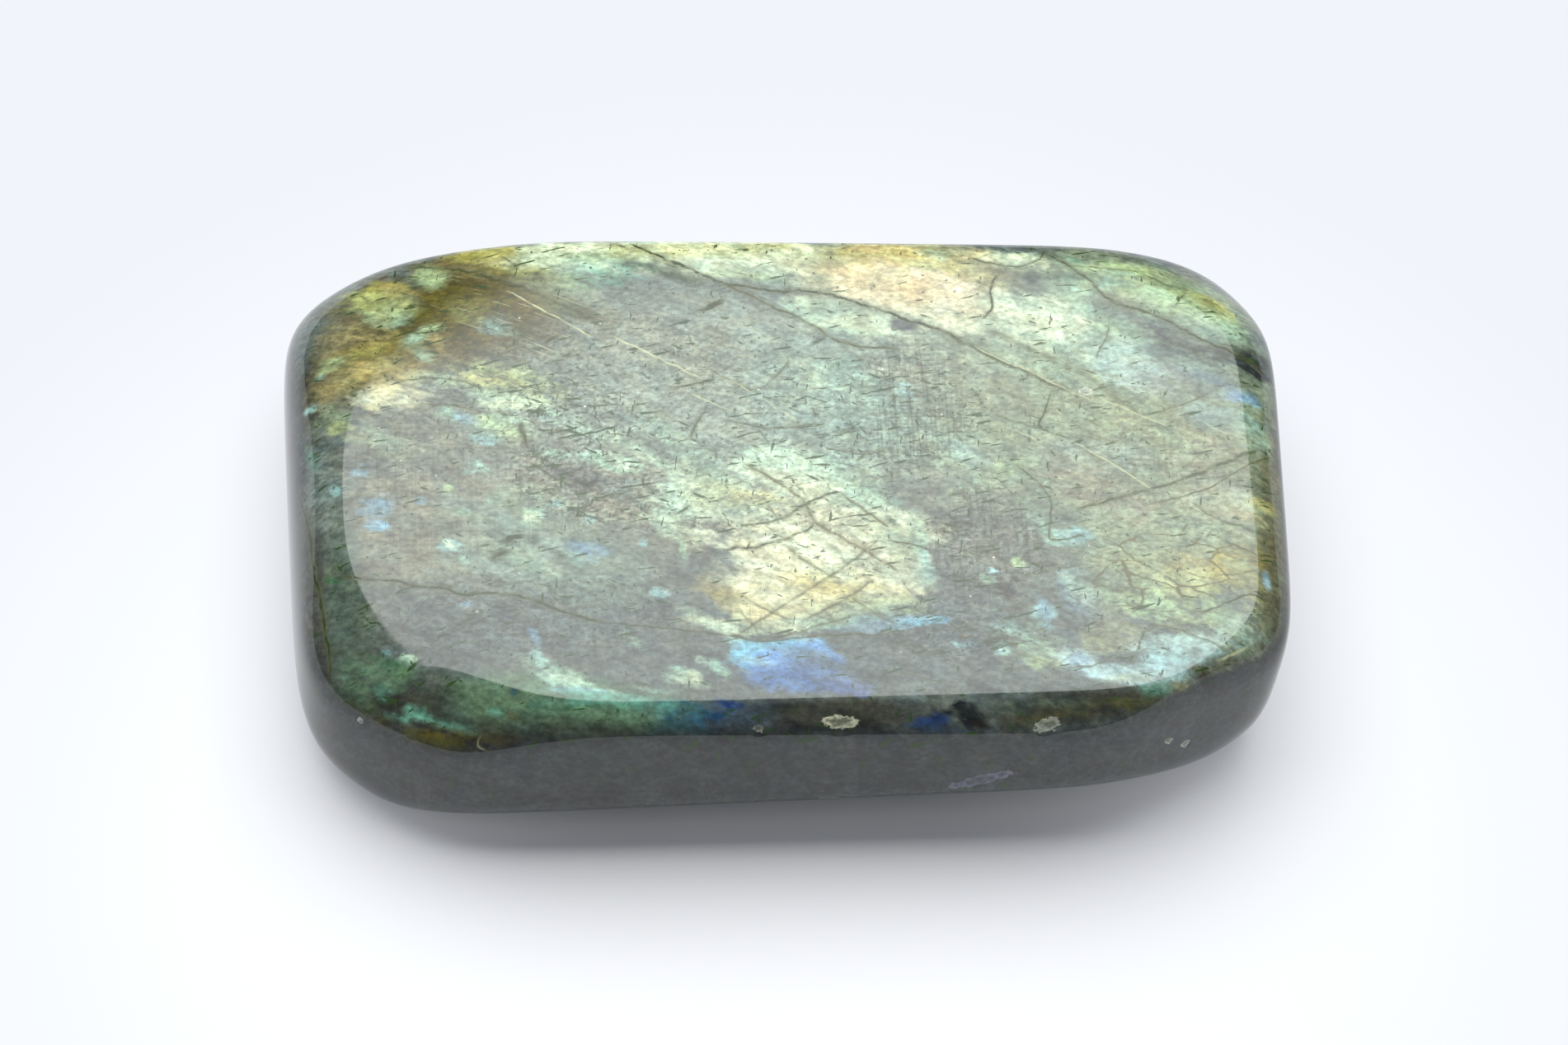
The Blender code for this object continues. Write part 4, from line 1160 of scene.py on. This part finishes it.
def seam_marks(tree, name, uneven, push):
    """Shares of dark, of pale and of the dark ones' halo along the seams of one attribute.

    A seam is crisp at a half width and its halo reaches four of them. Noise 0.6 mm long pushes
    the line to and fro by up to that many half widths.
    """
    parts = node(tree, "ShaderNodeSeparateXYZ", {
        0: node(tree, "ShaderNodeAttribute", attribute_name=name).outputs["Vector"],
    })
    side, there, tone = parts.outputs
    sway = mottling(tree, 0, (0.6, 0.6, 0.6), 3.0, (0.3, 0.7), (-push, push))
    pushed = node(tree, "ShaderNodeMath", {0: side, 1: sway}, operation="ADD")
    off = node(tree, "ShaderNodeMath", {0: pushed}, operation="ABSOLUTE")
    shape = node(tree, "ShaderNodeMapRange", {
        "Value": off, "From Min": 0.6, "From Max": 1.4, "To Min": 1.0, "To Max": 0.0,
    }, interpolation_type="SMOOTHSTEP")
    line = node(tree, "ShaderNodeMath", {0: shape, 1: there}, operation="MULTIPLY")
    mark = node(tree, "ShaderNodeMath", {0: line, 1: uneven}, operation="MULTIPLY")
    pale = node(tree, "ShaderNodeMath", {0: tone, 1: mark}, operation="MULTIPLY")
    dark = node(tree, "ShaderNodeMath", {0: pale, 1: -1.0}, operation="MULTIPLY", use_clamp=True)
    wide = node(tree, "ShaderNodeMapRange", {
        "Value": off, "From Min": 0.5, "From Max": 4.0, "To Min": -0.5, "To Max": 0.0,
    })
    beside = node(tree, "ShaderNodeMath", {0: wide, 1: there}, operation="MULTIPLY")
    halo = node(tree, "ShaderNodeMath", {0: beside, 1: tone}, operation="MULTIPLY", use_clamp=True)
    return dark, pale, halo


def polished_labradorite():
    """Labradorite, ground and polished: a clear glassy skin over dull grey feldspar, in which
    thin lamellae throw back blue, green and gold. IOR 1.56, and as smooth as a tumbler makes it.
    """
    material, tree = empty_material("polished labradorite")

    # The flashes lie on the ground with torn edges: noise 1.3 mm by 0.6 mm decides, near the
    # edge of a patch, which of the two shows. It has no say where there is no patch.
    ground = node(tree, "ShaderNodeAttribute", attribute_name="ground colour").outputs["Color"]
    flash = node(tree, "ShaderNodeAttribute", attribute_name="flash colour")
    torn = mottling(tree, GRAIN_TURN, (1.3, 0.6, 1.0), 6.0, (0.25, 0.75), (-0.42, 0.42))
    inside = node(tree, "ShaderNodeMapRange", {"Value": flash.outputs["Alpha"], "From Max": 0.3})
    reached = node(tree, "ShaderNodeMath", {
        0: torn, 1: inside, 2: flash.outputs["Alpha"],
    }, operation="MULTIPLY_ADD")
    shown = node(tree, "ShaderNodeMapRange", {"Value": reached, "From Min": 0.05, "From Max": 0.95})
    colour = node(tree, "ShaderNodeMix", {
        0: shown, "A": ground, "B": flash.outputs["Color"],
    }, data_type="RGBA")

    # Clouds of brighter and duller lamellae, a grain 0.3 mm across where the stone is specked,
    # warmer and cooler ones, the blocks between the cleavages, and the fine streaks of the
    # lamellae, 0.3 mm wide and up to 9 mm long. Twins cross at right angles in the hatched zones.
    # Columns: how much of it shows, and what it multiplies the colour by.
    markings = node(tree, "ShaderNodeAttribute", attribute_name="marking shares")
    parts = node(tree, "ShaderNodeSeparateColor", {0: markings.outputs["Color"]})
    specked, crosshatched, scaled = parts.outputs
    needled = markings.outputs["Alpha"]
    tint = node(tree, "ShaderNodeMix", {
        0: mottling(tree, -20, (2.4, 1.5, 2.0), 7.0, (0.35, 0.65), (0.0, 1.0)),
        "A": (1.07, 0.99, 0.90, 1.0), "B": (0.95, 0.99, 1.01, 1.0),
    }, data_type="RGBA")
    streaked = mottling(tree, 40, (5.0, 3.0, 3.0), 3.0, (0.40, 0.60), (0.2, 1.0))
    for share, swing in (
        (1.0, mottling(tree, -25, (1.7, 1.0, 1.2), 8.0, (0.32, 0.68), (0.68, 1.20))),
        (1.0, mottling(tree, 0, (0.5, 0.36, 0.4), 6.0, (0.34, 0.66), (0.72, 1.26))),
        (specked, mottling(tree, 20, (0.36, 0.26, 0.3), 4.0, (0.36, 0.64), (0.62, 1.32))),
        (1.0, tint),
        (1.0, cleavage_blocks(tree, -31, 31, (1.5, 2.4))),
        (streaked, mottling(tree, -25, (9.0, 0.34, 3.0), 3.0, (0.35, 0.65), (0.92, 1.08))),
        (streaked, mottling(tree, -4, (8.0, 0.30, 3.0), 3.0, (0.35, 0.65), (0.94, 1.06))),
        (crosshatched, mottling(tree, 2, (3.0, 0.24, 3.0), 3.0, (0.34, 0.54), (0.70, 1.06))),
        (crosshatched, mottling(tree, 93, (4.5, 0.22, 3.0), 3.0, (0.34, 0.54), (0.66, 1.06))),
    ):
        colour = node(tree, "ShaderNodeMix", {
            0: share, "A": colour, "B": swing,
        }, data_type="RGBA", blend_type="MULTIPLY")

    # Paint for the markings: a pattern, the share of it that shows, and its hue. First come the
    # dashes of ore in loose clumps, by their turn, cell and rarity, and dots of it.
    paints = []
    for turn, cell, rarity in (
        (15, (2.0, 0.38, 2), 0.66),
        (-24, (1.7, 0.38, 2), 0.69),
        (2, (2.2, 0.36, 2), 0.69),
        (84, (1.5, 0.38, 2), 0.69),
        (-58, (0.9, 0.38, 2), 0.70),
    ):
        paints.append((dashes(tree, turn, cell, specked, rarity), 1.0, "2B451C"))
    part = node(tree, "ShaderNodeMath", {0: specked, 1: 0.14, 2: 0.03}, operation="MULTIPLY_ADD")
    dot = grains(tree, wavering(tree, 0, (0.55, 0.55, 1), 0.4, 0.6), 0.14, part)
    paints.append((dot, 0.7, "2C4024"))

    # Wavy seams like fish scales 3.2 mm by 1.3 mm, broken hair cracks and pale yellow needles.
    scales = net(tree, wavering(tree, -8, (3.2, 1.3, 2), 2.4, 0.9), 0.06)
    broken = mottling(tree, 0, (1.6, 1.2, 1.5), 3.0, (0.38, 0.54), (0.0, 0.85))
    broken = node(tree, "ShaderNodeMath", {0: broken, 1: scaled}, operation="MULTIPLY")
    paints.append((scales, broken, "5C5830"))
    hair = net(tree, wavering(tree, -20, (2.9, 1.5, 2), 1.5, 0.7), 0.05)
    stretches = mottling(tree, 0, (1.6, 1.2, 1.2), 3.0, (0.52, 0.60), (0.0, 1.0))
    stretches = node(tree, "ShaderNodeMath", {0: stretches, 1: specked}, operation="MULTIPLY")
    paints.append((hair, stretches, "3A4A2C"))
    needle = mottling(tree, -27, (3.0, 0.15, 3.0), 1.0, (0.69, 0.75), (0.0, 0.5))
    paints.append((needle, needled, "B9BC90"))

    # The seams that reach the polish, dark or pale yellow, from their own lines on the mesh, with the
    # painted shade along the left ridge among the dark ones. The dark ones are grooves as well.
    # Columns: attribute, push in half widths, hue of a dark one.
    uneven = mottling(tree, 0, (0.9, 0.9, 0.9), 3.0, (0.34, 0.58), (0.40, 1.0))
    groove = 0.0
    for name, push, hue in (
        ("seams", 0.6, "2C3A1C"), ("crossing seams", 0.35, "3C421E"), ("streaks", 0.25, "54502A"),
    ):
        dark, pale, halo = seam_marks(tree, name, uneven, push)
        paints.append((halo, 1.0, "5E6238"))
        paints.append((dark, 1.0, hue))
        paints.append((pale, 1.0, "BEC496"))
        groove = node(tree, "ShaderNodeMath", {0: groove, 1: dark}, operation="ADD")

    # Painted glints: bright near-white dots, 0.1 mm across and few, where the stone is specked, painted
    # into the colour as sparkles of light.
    painted_glints = grains(tree, laid_along(tree, 10, (1.1, 1.1, 1)), 0.05, 0.02)
    paints.append((painted_glints, specked, "E8E6DC"))
    for pattern, share, hue in paints:
        cover = node(tree, "ShaderNodeMath", {
            0: pattern, 1: share,
        }, operation="MULTIPLY", use_clamp=True)
        colour = node(tree, "ShaderNodeMix", {0: cover, "A": colour, "B": linear(hue)}, data_type="RGBA")

    # The chips: bare feldspar without its polish, with an edge as ragged as noise 0.3 mm wide.
    # Its hue shows in full along the rim and thinly inside.
    chip = node(tree, "ShaderNodeAttribute", attribute_name="chip colour")
    torn = mottling(tree, 0, (0.3, 0.3, 0.3), 3.0, (0.2, 0.8), (-0.2, 0.2))
    reached = node(tree, "ShaderNodeMath", {0: chip.outputs["Alpha"], 1: torn}, operation="ADD")
    chipped = node(tree, "ShaderNodeMapRange", {
        "Value": reached, "From Min": 0.45, "From Max": 0.6,
    }, interpolation_type="SMOOTHSTEP")
    uneven = mottling(tree, 0, (0.35, 0.25, 0.25), 4.0, (0.30, 0.70), (0.45, 1.0))
    bare = node(tree, "ShaderNodeMix", {0: 1.0, "A": chip.outputs["Color"], "B": uneven},
                data_type="RGBA", blend_type="MULTIPLY")
    rim = node(tree, "ShaderNodeMapRange", {
        "Value": reached, "From Min": 0.62, "From Max": 0.92, "To Min": 1.0, "To Max": 0.22,
    })
    crust = node(tree, "ShaderNodeMath", {0: chipped, 1: rim}, operation="MULTIPLY")
    colour = node(tree, "ShaderNodeMix", {0: crust, "A": colour, "B": bare}, data_type="RGBA")
    roughness = node(tree, "ShaderNodeMapRange", {"Value": chipped, "To Min": 0.06, "To Max": 0.35})

    bump = node(tree, "ShaderNodeBump", {
        "Height": node(tree, "ShaderNodeMath", {0: groove, 1: -1.0}, operation="MULTIPLY"),
        "Strength": 0.25, "Distance": 0.05 * MM,
    })
    skin = node(tree, "ShaderNodeBsdfPrincipled", {
        "Base Color": colour, "Roughness": roughness, "IOR": 1.56, "Normal": bump,
    })
    node(tree, "ShaderNodeOutputMaterial", {"Surface": skin})
    return material


# The piece. Its walls are plain: the colours and markings go with the z of the normal, from none
# at STEEP - STEEP_FADE to all at STEEP.
STEEP = 0.62
STEEP_FADE = 0.25
BARELY = 0.001

points, normals, faces = stone_surface()
points, chips = break_chips(points, normals)
stone = mesh_object("polished_stone", points, faces, polished_labradorite())
stone.data.shade_smooth()
x, y = points[:, :2].T
upward = 1 - np.clip((STEEP - normals[:, 2]) / STEEP_FADE, 0, 1)
tones, held, covered = lay_patches(x, y, TONES, 1.0)
ground = tones + HUES["ash"] * (1 - covered[:, None])
ground = ground * upward[:, None] + HUES["wall"] * (1 - upward[:, None])
flash, held, covered = lay_patches(x, y, FLASHES, FLASH_SPREAD)
flash = np.where(held[:, None] > BARELY, flash / np.maximum(held[:, None], BARELY), ground)
give_attribute(stone.data, "ground colour", "FLOAT_COLOR", np.column_stack([ground, np.ones(len(x))]))
give_attribute(stone.data, "flash colour", "FLOAT_COLOR", np.column_stack([flash, covered * upward]))
give_attribute(stone.data, "chip colour", "FLOAT_COLOR", chips)
shares = [soft_ovals(x, y, ovals) * upward for ovals in (SPECKED, CROSSHATCHED, SCALED, NEEDLED)]
give_attribute(stone.data, "marking shares", "FLOAT_COLOR", np.column_stack(shares))
for name, seams in (("seams", SEAMS), ("crossing seams", CROSSING_SEAMS), ("streaks", STREAKS)):
    field = seam_field(x, y, seams)
    field[:, 1] *= upward
    give_attribute(stone.data, name, "FLOAT_VECTOR", field)
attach(stone, "root")
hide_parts("labradorite_stone")
